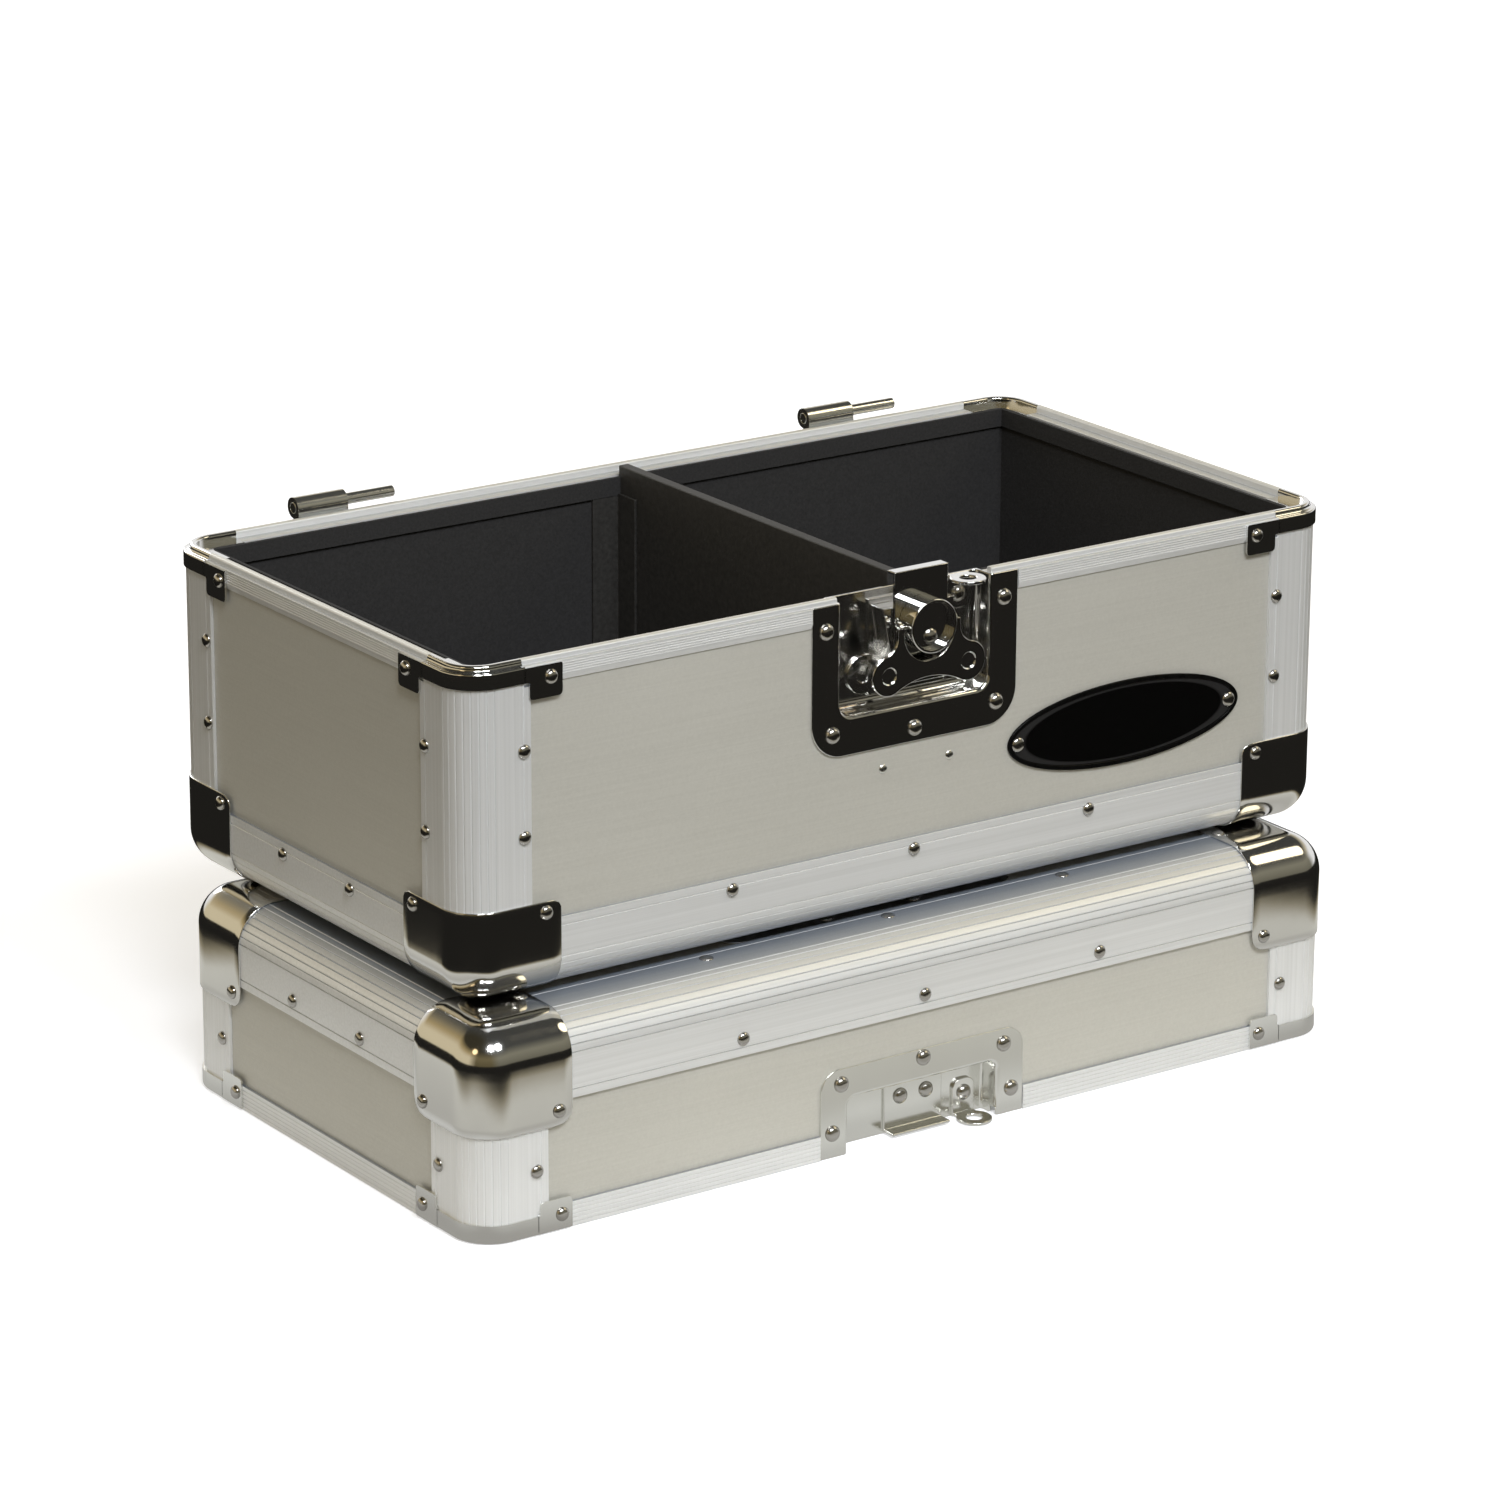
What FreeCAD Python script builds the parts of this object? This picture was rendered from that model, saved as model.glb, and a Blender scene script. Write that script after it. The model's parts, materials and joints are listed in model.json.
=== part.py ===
import FreeCAD, Part
import math
import os

# Record carrying case, opened: the lid stands on its rim and the base stands on the lid's top.
# Millimetres, +Z up, +X along the case, -Y towards the latch side.
# Each half is drawn centred, with z = 0 at the lid's rim or at the base's underside, then moved to its place.

V = FreeCAD.Vector
AX_X = V(1, 0, 0)
AX_Y = V(0, 1, 0)
AX_Z = V(0, 0, 1)
QUARTER = 90.0
HALF_TURN = 180.0
OVERRUN = 5.0

# Case
CASE_LENGTH = 430.0
CASE_DEPTH = 223.0
BASE_HEIGHT = 135.7
LID_HEIGHT = 87.1
BASE_SHIFT_X = 9.8
BASE_SHIFT_Y = 22.1
STACK_GAP = 0.3

# Panels and aluminium sections
SHEET = 1.5
PANEL_THICK = 7.0
EDGE_RADIUS = 16.0
BASE_FLANGE = 31.0
LID_FLANGE = 33.2
GROOVE_WIDTH = 0.6
GROOVE_DEPTH = 0.35
ROUND_GROOVES = 8
FLANGE_GROOVE_INSET = 3.5
LINING_THICK = 1.5

# Rim sections
RIM_START = 28.0
BASE_BAND = 8.3
BAND_CHAMFER = 2.2
BAND_CHAMFER_IN = 0.9
LID_BAND = 10.5
TONGUE_FACE = 1.8
TONGUE_THICK = 3.0
TONGUE_HEIGHT = 2.4
TONGUE_ROUND = 1.0
RIM_STEP = 0.8
RIM_WEB = 1.5
JOINT_SIDE_GAP = 0.5
JOINT_TOP_GAP = 0.8
BAND_RIBS = 5
RIB_GROOVE_WIDTH = 0.45
RIB_GROOVE_DEPTH = 0.25
PANEL_SEAT_GAP = 0.1

# Pressed corner pieces
CORNER_SHEET = 0.9
BALL_REACH = 44.0
LID_BALL_HEIGHT = 43.0
BASE_BALL_HEIGHT = 39.0
LID_BALL_ROUND = 7.0
BASE_BALL_ROUND = 4.0
LID_CLAMP_TAB_START = 28.8
LID_CLAMP_TAB_END = 43.6
LID_CLAMP_TAB_HEIGHT = 13.5
LID_CLAMP_BAND = 8.0
BASE_CLAMP_TAB_START = 29.9
BASE_CLAMP_TAB_END = 45.0
BASE_CLAMP_TAB_HEIGHT = 13.7
BASE_CLAMP_BAND = 6.0
CLAMP_TAB_ROUND = 2.0
CLAMP_SHOULDER = 1.2

# Rivets
RIVET_RADIUS = 2.65
RIVET_HEIGHT = 1.7
DISH_RIVET_RADIUS = 3.1
DISH_RIVET_HEIGHT = 2.1
SMALL_RIVET_RADIUS = 1.9
SMALL_RIVET_HEIGHT = 0.9
ROW_PITCH = 89.6
SIDE_ROW_HALF = 25.9
ROW_INSET = 26.0
POST_RIVET_INSET = 27.7
BASE_POST_RIVET_SHARES = (0.491, 0.7495)
LID_POST_RIVET = 26.8
BASE_BALL_RIVET_IN = 36.9
BASE_BALL_RIVET_UP = 34.5
LID_BALL_RIVET_IN = 37.8
LID_BALL_RIVET_DOWN = 36.9
LID_TOP_EAR_RIVET_X = 39.5
LID_TOP_EAR_RIVET_Y = 29.2
BASE_CLAMP_RIVET_IN = 39.8
BASE_CLAMP_RIVET_DOWN = 5.6
LID_CLAMP_RIVET_IN = 38.9
LID_CLAMP_RIVET_UP = 6.7
SPARE_RIVET_LEFT = -15.0
SPARE_RIVET_RIGHT = 18.2
SPARE_RIVET_DROP = 9.3

# Recessed dishes
DISH_SHEET = 1.0
DISH_CUT_GAP = 0.3
DISH_LIP_ROUND = 1.8
LATCH_FLOOR_ROUND = 3.0
KEEPER_FLOOR_ROUND = 1.5
LATCH_DISH_WIDTH = 102.0
LATCH_DISH_HEIGHT = 64.0
LATCH_DISH_ROUND = 15.0
LATCH_RECESS_WIDTH = 74.0
LATCH_RECESS_HEIGHT = 47.7
LATCH_RECESS_ROUND = 6.0
RECESS_BACK = 10.4
LATCH_DISH_RIVET_X = 44.2
LATCH_DISH_RIVET_DOWN = 10.6
LATCH_DISH_LOW_X = 40.8
LATCH_DISH_LOW_RIVET_UP = 9.7
LATCH_DISH_MID_RIVET_UP = 5.8
KEEPER_DISH_WIDTH = 102.0
KEEPER_DISH_HEIGHT = 37.5
KEEPER_DISH_ROUND = 9.0
KEEPER_STRIP = 13.5
KEEPER_RECESS_ROUND = 4.0
KEEPER_DISH_RIVET_X = 45.2
KEEPER_DISH_RIVET_Z = 10.5
KEEPER_DISH_TOP_X = 41.0
KEEPER_DISH_TOP_Z = 30.8
KEEPER_DISH_MID_Z = 33.6

# Latch
LATCH_X = 1.5
PLATE_SHEET = 1.2
HOUSING_TOP_HALF = 17.6
HOUSING_LOW_HALF = 11.0
HOUSING_TOP_DOWN = 6.1
HOUSING_LOW_DOWN = 40.7
HOUSING_FRONT = 0.8
BASE_PLATE_HALF = 19.0
BASE_PLATE_TOP_DOWN = 3.7
BASE_PLATE_LOW_DOWN = 43.7
PLATE_LOBE_X = 20.9
PLATE_LOBE_DOWN = 34.7
PLATE_LOBE_RADIUS = 8.2
PIVOT_DOWN = 18.2
PIVOT_RADIUS = 2.4
PIVOT_HEAD_RADIUS = 3.4
PIVOT_HEAD_HEIGHT = 1.4
RUNNING_GAP = 0.05
SLIDE_GAP = 0.2
CAM_OFFSET = 2.5
CAM_RADIUS = 6.0
CAM_SLOT_GAP = 0.35
CAM_SWAY_SHARE = 0.2106
HOOK_WIDTH = 26.4
HOOK_THICK = 1.5
HOOK_RISE = 8.8
HOOK_LOW_DOWN = 38.7
HOOK_LIP_REACH = 5.2
HOOK_ROUND = 2.0
RAIL_TOP_DOWN = 32.7
RAIL_LOW_DOWN = 39.7
RAIL_SIDE = 1.2
RAIL_CAP = 1.1
RAIL_OVERLAP = 1.0
DRUM_RADIUS = 11.25
DRUM_OFFSET = 4.9
DRUM_HEIGHT = 9.1
DRUM_WALL = 1.25
CUP_DEPTH = 3.0
DRUM_EDGE = 0.6
WING_PIN_RADIUS = 1.2
WING_PIN_LENGTH = 30.0
WING_PIN_FACE = 3.9
WING_FRONT = 6.7
WING_THICK = 1.5
WING_GAP = 1.35
WING_ARM = 2.8
WING_TOP = 0.5
WING_NOTCH_DEPTH = 15.0
WING_LOBE_X = 19.75
WING_LOBE_Z = 18.5
WING_LOBE_RADIUS = 8.3
WING_WAIST = 21.7
WING_SHOULDER_X = 17.4
WING_SHOULDER_Z = 8.0
LOBE_CROWN_ANGLE = 75.0
LOBE_FOOT_ANGLE = -115.0
DIMPLE_RADIUS = 3.5
DIMPLE_DEPTH = 0.7
EAR_RADIUS = 2.4
EAR_THICK = 1.5

# Keeper on the lid
KEEPER_X = 1.4
KEEPER_WIDTH = 29.0
KEEPER_TOP_Z = 22.3
KEEPER_RIVET_HALF = 6.5
KEEPER_RIVET_Z = 15.3
KEEPER_LIP_REACH = 6.4

# Padlock hasps
HASP_X = 27.2
HASP_SHEET = 1.3
HASP_STRAP_HALF = 5.5
EYE_RADIUS = 7.4
EYE_HOLE = 3.5
EYE_NECK_HALF = 5.0
BASE_EYE_FACE = 2.6
LID_EYE_FACE = 1.5
EYE_RIM_GAP = 0.1
BASE_HASP_LOW_DOWN = 14.7
BASE_HASP_RIVET_DOWN = 8.4
LID_HASP_TOP_Z = 16.0
LID_HASP_RIVET_Z = 9.8

# Oval plate on the front
OVAL_LENGTH_SHARE = 0.32826
OVAL_RISE_SHARE = 0.306
OVAL_POST_GAP = 15.5
OVAL_HALF_HEIGHT = 18.0
OVAL_RING = 2.2
OVAL_THICK = 0.8
OVAL_RING_THICK = 1.3
OVAL_RIVET_INSET = 5.0

# Handle on the lid's top
HANDLE_FLANGE = 13.0
HANDLE_DISH_FRONT = 33.8
HANDLE_DISH_ROUND = 12.0
HANDLE_RECESS_LENGTH = 121.0
HANDLE_RECESS_DEPTH = 79.0
HANDLE_RECESS_ROUND = 8.0
HANDLE_RECESS_DOWN = 15.0
HANDLE_RIVET_HALF = 22.0
HANDLE_RIVET_INSET = 5.0
BAIL_RADIUS = 4.0
BAIL_SIDE_ROOM = 12.5
BAIL_REACH = 38.0
BAIL_BEND = 9.0
BAIL_PIN_RADIUS = 2.5
BAIL_EYE_RADIUS = 5.0
BAIL_EYE_THICK = 8.4
BAIL_EYE_GAP = 0.4
BAIL_FLOOR_GAP = 0.6
GRIP_RADIUS = 6.2
GRIP_END_ROOM = 13.0
BRACKET_THICK = 4.0
BRACKET_HALF = 6.0

# Partition
PARTITION_THICK = 5.0
PARTITION_FRONT = 17.0
PARTITION_RIM_DROP = 3.8
ANGLE_LEG = 14.0
ANGLE_THICK = 1.2

# Take-apart hinges on the back
HINGE_INSET = 85.0
HINGE_WIDTH = 52.0
HINGE_LEAF = 2.0
HINGE_LEAF_HEIGHT = 30.0
HINGE_BARREL_RADIUS = 4.5
HINGE_PIN_RADIUS = 2.4
HINGE_WALL_GAP = 0.1
HINGE_KNUCKLE_LENGTH = 24.0
HINGE_END_GAP = 0.5
HINGE_FLOOR_GAP = 0.4
HINGE_RIVET_HALF = 18.0
HINGE_RIVET_INSET = 8.0

# Places worked out from the sizes above
HALF_L = CASE_LENGTH / 2
HALF_D = CASE_DEPTH / 2
PANEL_IN = SHEET + PANEL_THICK
SKIN_IN = PANEL_IN + SHEET
BASE_PANEL_TOP = BASE_HEIGHT - RIM_STEP - RIM_WEB
LID_PANEL_LOW = TONGUE_HEIGHT + JOINT_TOP_GAP + RIM_WEB
JOINT_FRONT = TONGUE_FACE - JOINT_SIDE_GAP
JOINT_BACK = TONGUE_FACE + TONGUE_THICK + JOINT_SIDE_GAP
JOINT_ROOF = TONGUE_HEIGHT + JOINT_TOP_GAP
LATCH_DISH_LOW = BASE_HEIGHT - LATCH_DISH_HEIGHT
PIVOT_Z = BASE_HEIGHT - PIVOT_DOWN
HOOK_TOP_Z = BASE_HEIGHT + HOOK_RISE
HOOK_LOW_Z = BASE_HEIGHT - HOOK_LOW_DOWN
PLATE_LOBE_Z = BASE_HEIGHT - PLATE_LOBE_DOWN
RAIL_TOP_Z = BASE_HEIGHT - RAIL_TOP_DOWN
RAIL_LOW_Z = BASE_HEIGHT - RAIL_LOW_DOWN
OVAL_HALF_LENGTH = (HALF_L - BASE_FLANGE) * OVAL_LENGTH_SHARE
OVAL_X = HALF_L - BASE_FLANGE - OVAL_POST_GAP - OVAL_HALF_LENGTH
OVAL_Z = BASE_FLANGE + (BASE_HEIGHT - BASE_BAND - BASE_FLANGE) * OVAL_RISE_SHARE
HANDLE_DISH_LENGTH = HANDLE_RECESS_LENGTH + HANDLE_FLANGE * 2
HANDLE_DISH_DEPTH = HANDLE_RECESS_DEPTH + HANDLE_FLANGE * 2
BAIL_SPAN = HANDLE_RECESS_LENGTH - BAIL_SIDE_ROOM * 2
GRIP_LENGTH = BAIL_SPAN - GRIP_END_ROOM * 2
HINGE_X = HALF_L - HINGE_INSET
FRONT_REACH = EYE_RADIUS - LID_EYE_FACE
HINGE_AXIS_OUT = HINGE_BARREL_RADIUS + HINGE_WALL_GAP
BACK_REACH = HINGE_AXIS_OUT + HINGE_BARREL_RADIUS
LID_PLACE = V(-BASE_SHIFT_X / 2, -(BASE_SHIFT_Y + BACK_REACH - FRONT_REACH) / 2, 0)
BASE_PLACE = LID_PLACE + V(BASE_SHIFT_X, BASE_SHIFT_Y, LID_HEIGHT + CORNER_SHEET * 2 + STACK_GAP)
HOOK_FACE = HOUSING_FRONT - HOOK_THICK
CAM_FACE = HOOK_FACE - SLIDE_GAP
DRUM_FACE = CAM_FACE - DRUM_HEIGHT
DRUM_Z = PIVOT_Z + DRUM_OFFSET
HOOK_TRAVEL = CAM_OFFSET * 2
KEEPER_LIP_TOP = HOOK_TOP_Z - HOOK_THICK - HOOK_TRAVEL - BASE_HEIGHT - SLIDE_GAP

parts = {}


def put(name, solids, place):
    """Keeps the solids of one node, moved from their half's frame to the case's frame."""
    moved = []
    for solid in solids:
        copy = solid.copy()
        copy.translate(place)
        moved.append(copy)
    parts[name] = moved


def box(x0, x1, y0, y1, z0, z1):
    return Part.makeBox(x1 - x0, y1 - y0, z1 - z0, V(x0, y0, z0))


def rod(start, axis, radius, length):
    return Part.makeCylinder(radius, length, start, axis)


def path_face(points):
    """A face from corner points; a point given as (mid, end) is reached by an arc through mid."""
    edges = []
    here = points[0]
    for step in points[1:] + points[:1]:
        if isinstance(step, tuple):
            edges.append(Part.Arc(here, step[0], step[1]).toShape())
            here = step[1]
        else:
            if here.distanceToPoint(step) > 0:
                edges.append(Part.LineSegment(here, step).toShape())
            here = step
    return Part.Face(Part.Wire(edges))


def fused(shapes):
    whole = shapes[0]
    if len(shapes) > 1:
        whole = whole.multiFuse(shapes[1:])
    return whole.removeSplitter()


def mirrored(solid, normal):
    return solid.mirror(V(0, 0, 0), normal)


def four_ways(solid):
    """One corner piece and its three mirror images about the middle planes."""
    left = mirrored(solid, AX_X)
    return [solid, left, mirrored(solid, AX_Y), mirrored(left, AX_Y)]


def rounded_rect(x0, x1, z0, z1, low_round, top_round, y):
    """A rectangle in a plane of constant y with its own low and top corner radii."""
    diag = 1 - math.sqrt(0.5)
    pts = [V(x0 + low_round, y, z0), V(x1 - low_round, y, z0)]
    if low_round > 0:
        pts.append((V(x1 - low_round * diag, y, z0 + low_round * diag), V(x1, y, z0 + low_round)))
    pts.append(V(x1, y, z1 - top_round))
    if top_round > 0:
        pts.append((V(x1 - top_round * diag, y, z1 - top_round * diag), V(x1 - top_round, y, z1)))
    pts.append(V(x0 + top_round, y, z1))
    if top_round > 0:
        pts.append((V(x0 + top_round * diag, y, z1 - top_round * diag), V(x0, y, z1 - top_round)))
    pts.append(V(x0, y, z0 + low_round))
    if low_round > 0:
        pts.append((V(x0 + low_round * diag, y, z0 + low_round * diag), V(x0 + low_round, y, z0)))
    return path_face(pts)


# Rivets

def dome(point, out, radius, height):
    """A rivet head: a shallow dome that stands on a surface at point and faces along out."""
    ball = (radius * radius + height * height) / (2 * height)
    top = V(0, 0, height)
    rim = V(radius, 0, 0)
    half = math.asin(min(1.0, radius / ball)) / 2
    mid = V(ball * math.sin(half), 0, height - ball + ball * math.cos(half))
    edges = [
        Part.Arc(rim, mid, top).toShape(),
        Part.LineSegment(top, V(0, 0, 0)).toShape(),
        Part.LineSegment(V(0, 0, 0), rim).toShape(),
    ]
    head = Part.Face(Part.Wire(edges)).revolve(V(0, 0, 0), AX_Z, 2 * HALF_TURN)
    head.Placement = FreeCAD.Placement(point, FreeCAD.Rotation(AX_Z, out))
    return head


def rivet(point, out):
    return dome(point, out, RIVET_RADIUS, RIVET_HEIGHT)


def front_y(face):
    """The y of a plane that lies face behind the case's front."""
    return face - HALF_D


# Aluminium sections

def grooved_line(a, b, out, places, width, depth):
    """Points from a to b with a V groove, cut against out, centred at each distance from a."""
    along = (b - a).normalize()
    pts = []
    for place in places:
        pts.append(a + along * (place - width / 2))
        pts.append(a + along * place - out * depth)
        pts.append(a + along * (place + width / 2))
    return pts


def angle_section(flange):
    """Corner section in the XY plane, corner at the origin, legs along +X and +Y, with panel slots."""
    r = EDGE_RADIUS
    centre = V(r, r, 0)
    out_x = V(0, -1, 0)
    out_y = V(-1, 0, 0)
    pts = [V(flange, 0, 0)]
    first = FLANGE_GROOVE_INSET
    pts += grooved_line(V(flange, 0, 0), V(r, 0, 0), out_x, [first], GROOVE_WIDTH, GROOVE_DEPTH)
    pts.append(V(r, 0, 0))
    step = math.radians(QUARTER) / ROUND_GROOVES
    half = GROOVE_WIDTH / 2 / r

    def on_round(angle, radius):
        return centre + V(-math.sin(angle) * radius, -math.cos(angle) * radius, 0)

    here = 0.0
    for i in range(ROUND_GROOVES):
        mid = (i + 0.5) * step
        pts.append((on_round((here + mid - half) / 2, r), on_round(mid - half, r)))
        pts.append(on_round(mid, r - GROOVE_DEPTH))
        pts.append(on_round(mid + half, r))
        here = mid + half
    end = math.radians(QUARTER)
    pts.append((on_round((here + end) / 2, r), V(0, r, 0)))
    side = flange - r - first
    pts += grooved_line(V(0, r, 0), V(0, flange, 0), out_y, [side], GROOVE_WIDTH, GROOVE_DEPTH)
    pts += [V(0, flange, 0), V(SHEET, flange, 0), V(SHEET, r, 0), V(PANEL_IN, r, 0)]
    pts += [V(PANEL_IN, flange, 0), V(SKIN_IN, flange, 0), V(SKIN_IN, SKIN_IN, 0), V(flange, SKIN_IN, 0)]
    pts += [V(flange, PANEL_IN, 0), V(r, PANEL_IN, 0), V(r, SHEET, 0), V(flange, SHEET, 0)]
    return path_face(pts)


def corner_posts(flange, low, high, clear_low, clear_high):
    """The four upright corner sections; their legs stop where the rim bars run."""
    section = angle_section(flange)
    post = section.extrude(V(0, 0, high - low))
    post.translate(V(0, 0, low))
    reach = flange + OVERRUN
    post = post.cut(box(RIM_START, reach, -OVERRUN, reach, clear_low, clear_high))
    post = post.cut(box(-OVERRUN, reach, RIM_START, reach, clear_low, clear_high))
    post.translate(V(-HALF_L, -HALF_D, 0))
    return four_ways(post)


def edge_sections(flange, z_outer, up):
    """The four level sections along one face of a half; up is +1 for the base's underside."""
    section = angle_section(flange)
    long_run = section.copy()
    long_run.rotate(V(0, 0, 0), AX_Y, -QUARTER)
    long_run = long_run.extrude(V(CASE_LENGTH - flange * 2, 0, 0))
    long_run.translate(V(flange - HALF_L, -HALF_D, 0))
    short_run = section.copy()
    short_run.rotate(V(0, 0, 0), AX_X, QUARTER)
    short_run = short_run.extrude(V(0, CASE_DEPTH - flange * 2, 0))
    short_run.translate(V(-HALF_L, flange - HALF_D, 0))
    runs = [long_run, mirrored(long_run, AX_Y), short_run, mirrored(short_run, AX_X)]
    if up < 0:
        runs = [mirrored(run, AX_Z) for run in runs]
    for run in runs:
        run.translate(V(0, 0, z_outer))
    return runs


def rib_places(length):
    """Distances of the fine ribs' grooves along a band of the given height."""
    pitch = length / (BAND_RIBS + 1)
    return [pitch * (i + 1) for i in range(BAND_RIBS)]


def tongue_points(front_z, back_z):
    """Outline points over the tongue from its front foot to its back foot, with rounded top edges."""
    d0 = TONGUE_FACE
    d1 = TONGUE_FACE + TONGUE_THICK
    top = TONGUE_HEIGHT
    r = TONGUE_ROUND
    diag = r * (1 - math.sqrt(0.5))
    return [
        V(0, d0, front_z),
        V(0, d0, top - r),
        (V(0, d0 + diag, top - diag), V(0, d0 + r, top)),
        V(0, d1 - r, top),
        (V(0, d1 - diag, top - diag), V(0, d1, top - r)),
        V(0, d1, back_z),
    ]


def base_rim_section():
    """Tongue section in the YZ plane: y is the depth from the outer face, z = 0 at the rim."""
    low = -BASE_BAND
    foot = low + BAND_CHAMFER
    web = -RIM_STEP - RIM_WEB
    pts = [V(0, BAND_CHAMFER_IN, low), V(0, 0, foot)]
    pts += grooved_line(
        V(0, 0, foot), V(0, 0, 0), V(0, -1, 0), rib_places(-foot), RIB_GROOVE_WIDTH, RIB_GROOVE_DEPTH
    )
    pts.append(V(0, 0, 0))
    pts += tongue_points(0, -RIM_STEP)
    pts += [V(0, SKIN_IN, -RIM_STEP), V(0, SKIN_IN, low), V(0, PANEL_IN, low), V(0, PANEL_IN, web)]
    pts += [V(0, SHEET, web), V(0, SHEET, low)]
    return path_face(pts)


def groove_points():
    """Outline points through the lid's groove, from the rim's front edge to its inner edge."""
    return [
        V(0, JOINT_FRONT, 0),
        V(0, JOINT_FRONT, JOINT_ROOF),
        V(0, JOINT_BACK, JOINT_ROOF),
        V(0, JOINT_BACK, 0),
        V(0, SKIN_IN, 0),
    ]


def lid_rim_section():
    """Groove section in the YZ plane: y is the depth from the outer face, z = 0 at the rim."""
    web = LID_PANEL_LOW
    top = LID_BAND
    ribs = [top - place for place in reversed(rib_places(top))]
    pts = [V(0, 0, 0)] + groove_points()
    pts += [V(0, SKIN_IN, top), V(0, PANEL_IN, top), V(0, PANEL_IN, web)]
    pts += [V(0, SHEET, web), V(0, SHEET, top), V(0, 0, top)]
    pts += grooved_line(V(0, 0, top), V(0, 0, 0), V(0, -1, 0), ribs, RIB_GROOVE_WIDTH, RIB_GROOVE_DEPTH)
    return path_face(pts)


def run_along_x(section, x0, x1, z):
    bar = section.extrude(V(x1 - x0, 0, 0))
    bar.translate(V(x0, -HALF_D, z))
    return bar


def run_along_y(section, z):
    """The left rim bar, from the section drawn for the front."""
    bar = section.extrude(V(CASE_DEPTH - RIM_START * 2, 0, 0))
    bar.rotate(V(0, 0, 0), AX_Z, -QUARTER)
    bar.translate(V(-HALF_L, HALF_D - RIM_START, z))
    return bar


def rim_runs(section, z, break_half, flange_half):
    """The rim bars of one half; the front one is broken at the dish and notched for the dish's flange."""
    end = HALF_L - RIM_START
    front = run_along_x(section, -end, -break_half, z)
    low = z - BASE_BAND - OVERRUN
    high = z + LID_BAND + OVERRUN
    front = front.cut(
        box(-flange_half, OVERRUN - break_half, -HALF_D - OVERRUN, SHEET - HALF_D, low, high)
    )
    back = mirrored(run_along_x(section, -end, end, z), AX_Y)
    side = run_along_y(section, z)
    return [front, mirrored(front, AX_X), back, side, mirrored(side, AX_X)]


def sweep_corner(section, straight):
    """Carries a YZ section round a case corner of the edge radius, with a straight end on each side."""
    r = EDGE_RADIUS
    bend = section.copy()
    bend.translate(V(r, 0, 0))
    leg = bend.extrude(V(straight, 0, 0))
    bend = bend.revolve(V(r, r, 0), V(0, 0, -1), QUARTER)
    other = leg.mirror(V(0, 0, 0), V(1, -1, 0).normalize())
    return fused([leg, bend, other])


def clamp_tabs(start, end, z0, z1, band0, band1, up):
    """Both tabs with the narrower band that joins them to the corner."""
    low_round = CLAMP_TAB_ROUND if up < 0 else 0.0
    top_round = CLAMP_TAB_ROUND if up > 0 else 0.0
    tab = rounded_rect(start, end, z0, z1, low_round, top_round, 0).extrude(V(0, -CORNER_SHEET, 0))
    band = box(EDGE_RADIUS, start + CLAMP_TAB_ROUND, -CORNER_SHEET, 0, band0, band1)
    front = fused([tab, band])
    return [front, front.mirror(V(0, 0, 0), V(1, -1, 0).normalize())]


def base_rim_clamps():
    """Corner pieces over the base's rim, whose skin turns over the edge with a rounded shoulder."""
    web = -RIM_STEP - RIM_WEB + PANEL_SEAT_GAP
    diag = CLAMP_SHOULDER * (1 - math.sqrt(0.5))
    pts = [V(0, -CORNER_SHEET, -BASE_CLAMP_BAND), V(0, -CORNER_SHEET, -CLAMP_SHOULDER)]
    pts.append((V(0, diag - CORNER_SHEET, -diag), V(0, CLAMP_SHOULDER - CORNER_SHEET, 0)))
    pts += tongue_points(0, -RIM_STEP)
    pts += [V(0, SKIN_IN, -RIM_STEP), V(0, SKIN_IN, web), V(0, 0, web), V(0, 0, -BASE_CLAMP_BAND)]
    corner = sweep_corner(path_face(pts), RIM_START - EDGE_RADIUS)
    tabs = clamp_tabs(
        BASE_CLAMP_TAB_START, BASE_CLAMP_TAB_END,
        -BASE_CLAMP_TAB_HEIGHT, 0, -BASE_CLAMP_BAND, -CLAMP_SHOULDER, -1
    )
    clamp = fused([corner] + tabs)
    clamp.translate(V(-HALF_L, -HALF_D, BASE_HEIGHT))
    return four_ways(clamp)


def lid_rim_clamps():
    web = LID_PANEL_LOW - PANEL_SEAT_GAP
    pts = list(reversed(groove_points()))
    pts += [V(0, CLAMP_SHOULDER - CORNER_SHEET, 0)]
    diag = CLAMP_SHOULDER * (1 - math.sqrt(0.5))
    pts.append((V(0, diag - CORNER_SHEET, diag), V(0, -CORNER_SHEET, CLAMP_SHOULDER)))
    pts += [V(0, -CORNER_SHEET, LID_CLAMP_BAND), V(0, 0, LID_CLAMP_BAND), V(0, 0, web), V(0, SKIN_IN, web)]
    corner = sweep_corner(path_face(pts), RIM_START - EDGE_RADIUS)
    tabs = clamp_tabs(
        LID_CLAMP_TAB_START, LID_CLAMP_TAB_END, 0, LID_CLAMP_TAB_HEIGHT, CLAMP_SHOULDER, LID_CLAMP_BAND, 1
    )
    clamp = fused([corner] + tabs)
    clamp.translate(V(-HALF_L, -HALF_D, 0))
    return four_ways(clamp)


def rounded_corner_block(offset, reach, height, radius):
    """A block whose three outer edges at one corner are rounded, so that the corner is part of a ball."""
    block = box(-offset, reach, -offset, reach, -offset, height)
    edges = []
    for edge in block.Edges:
        mid = edge.CenterOfMass
        near = [abs(value + offset) < CORNER_SHEET / 10 for value in (mid.x, mid.y, mid.z)]
        if sum(near) == 2:
            edges.append(edge)
    return block.makeFillet(radius, edges)


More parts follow.
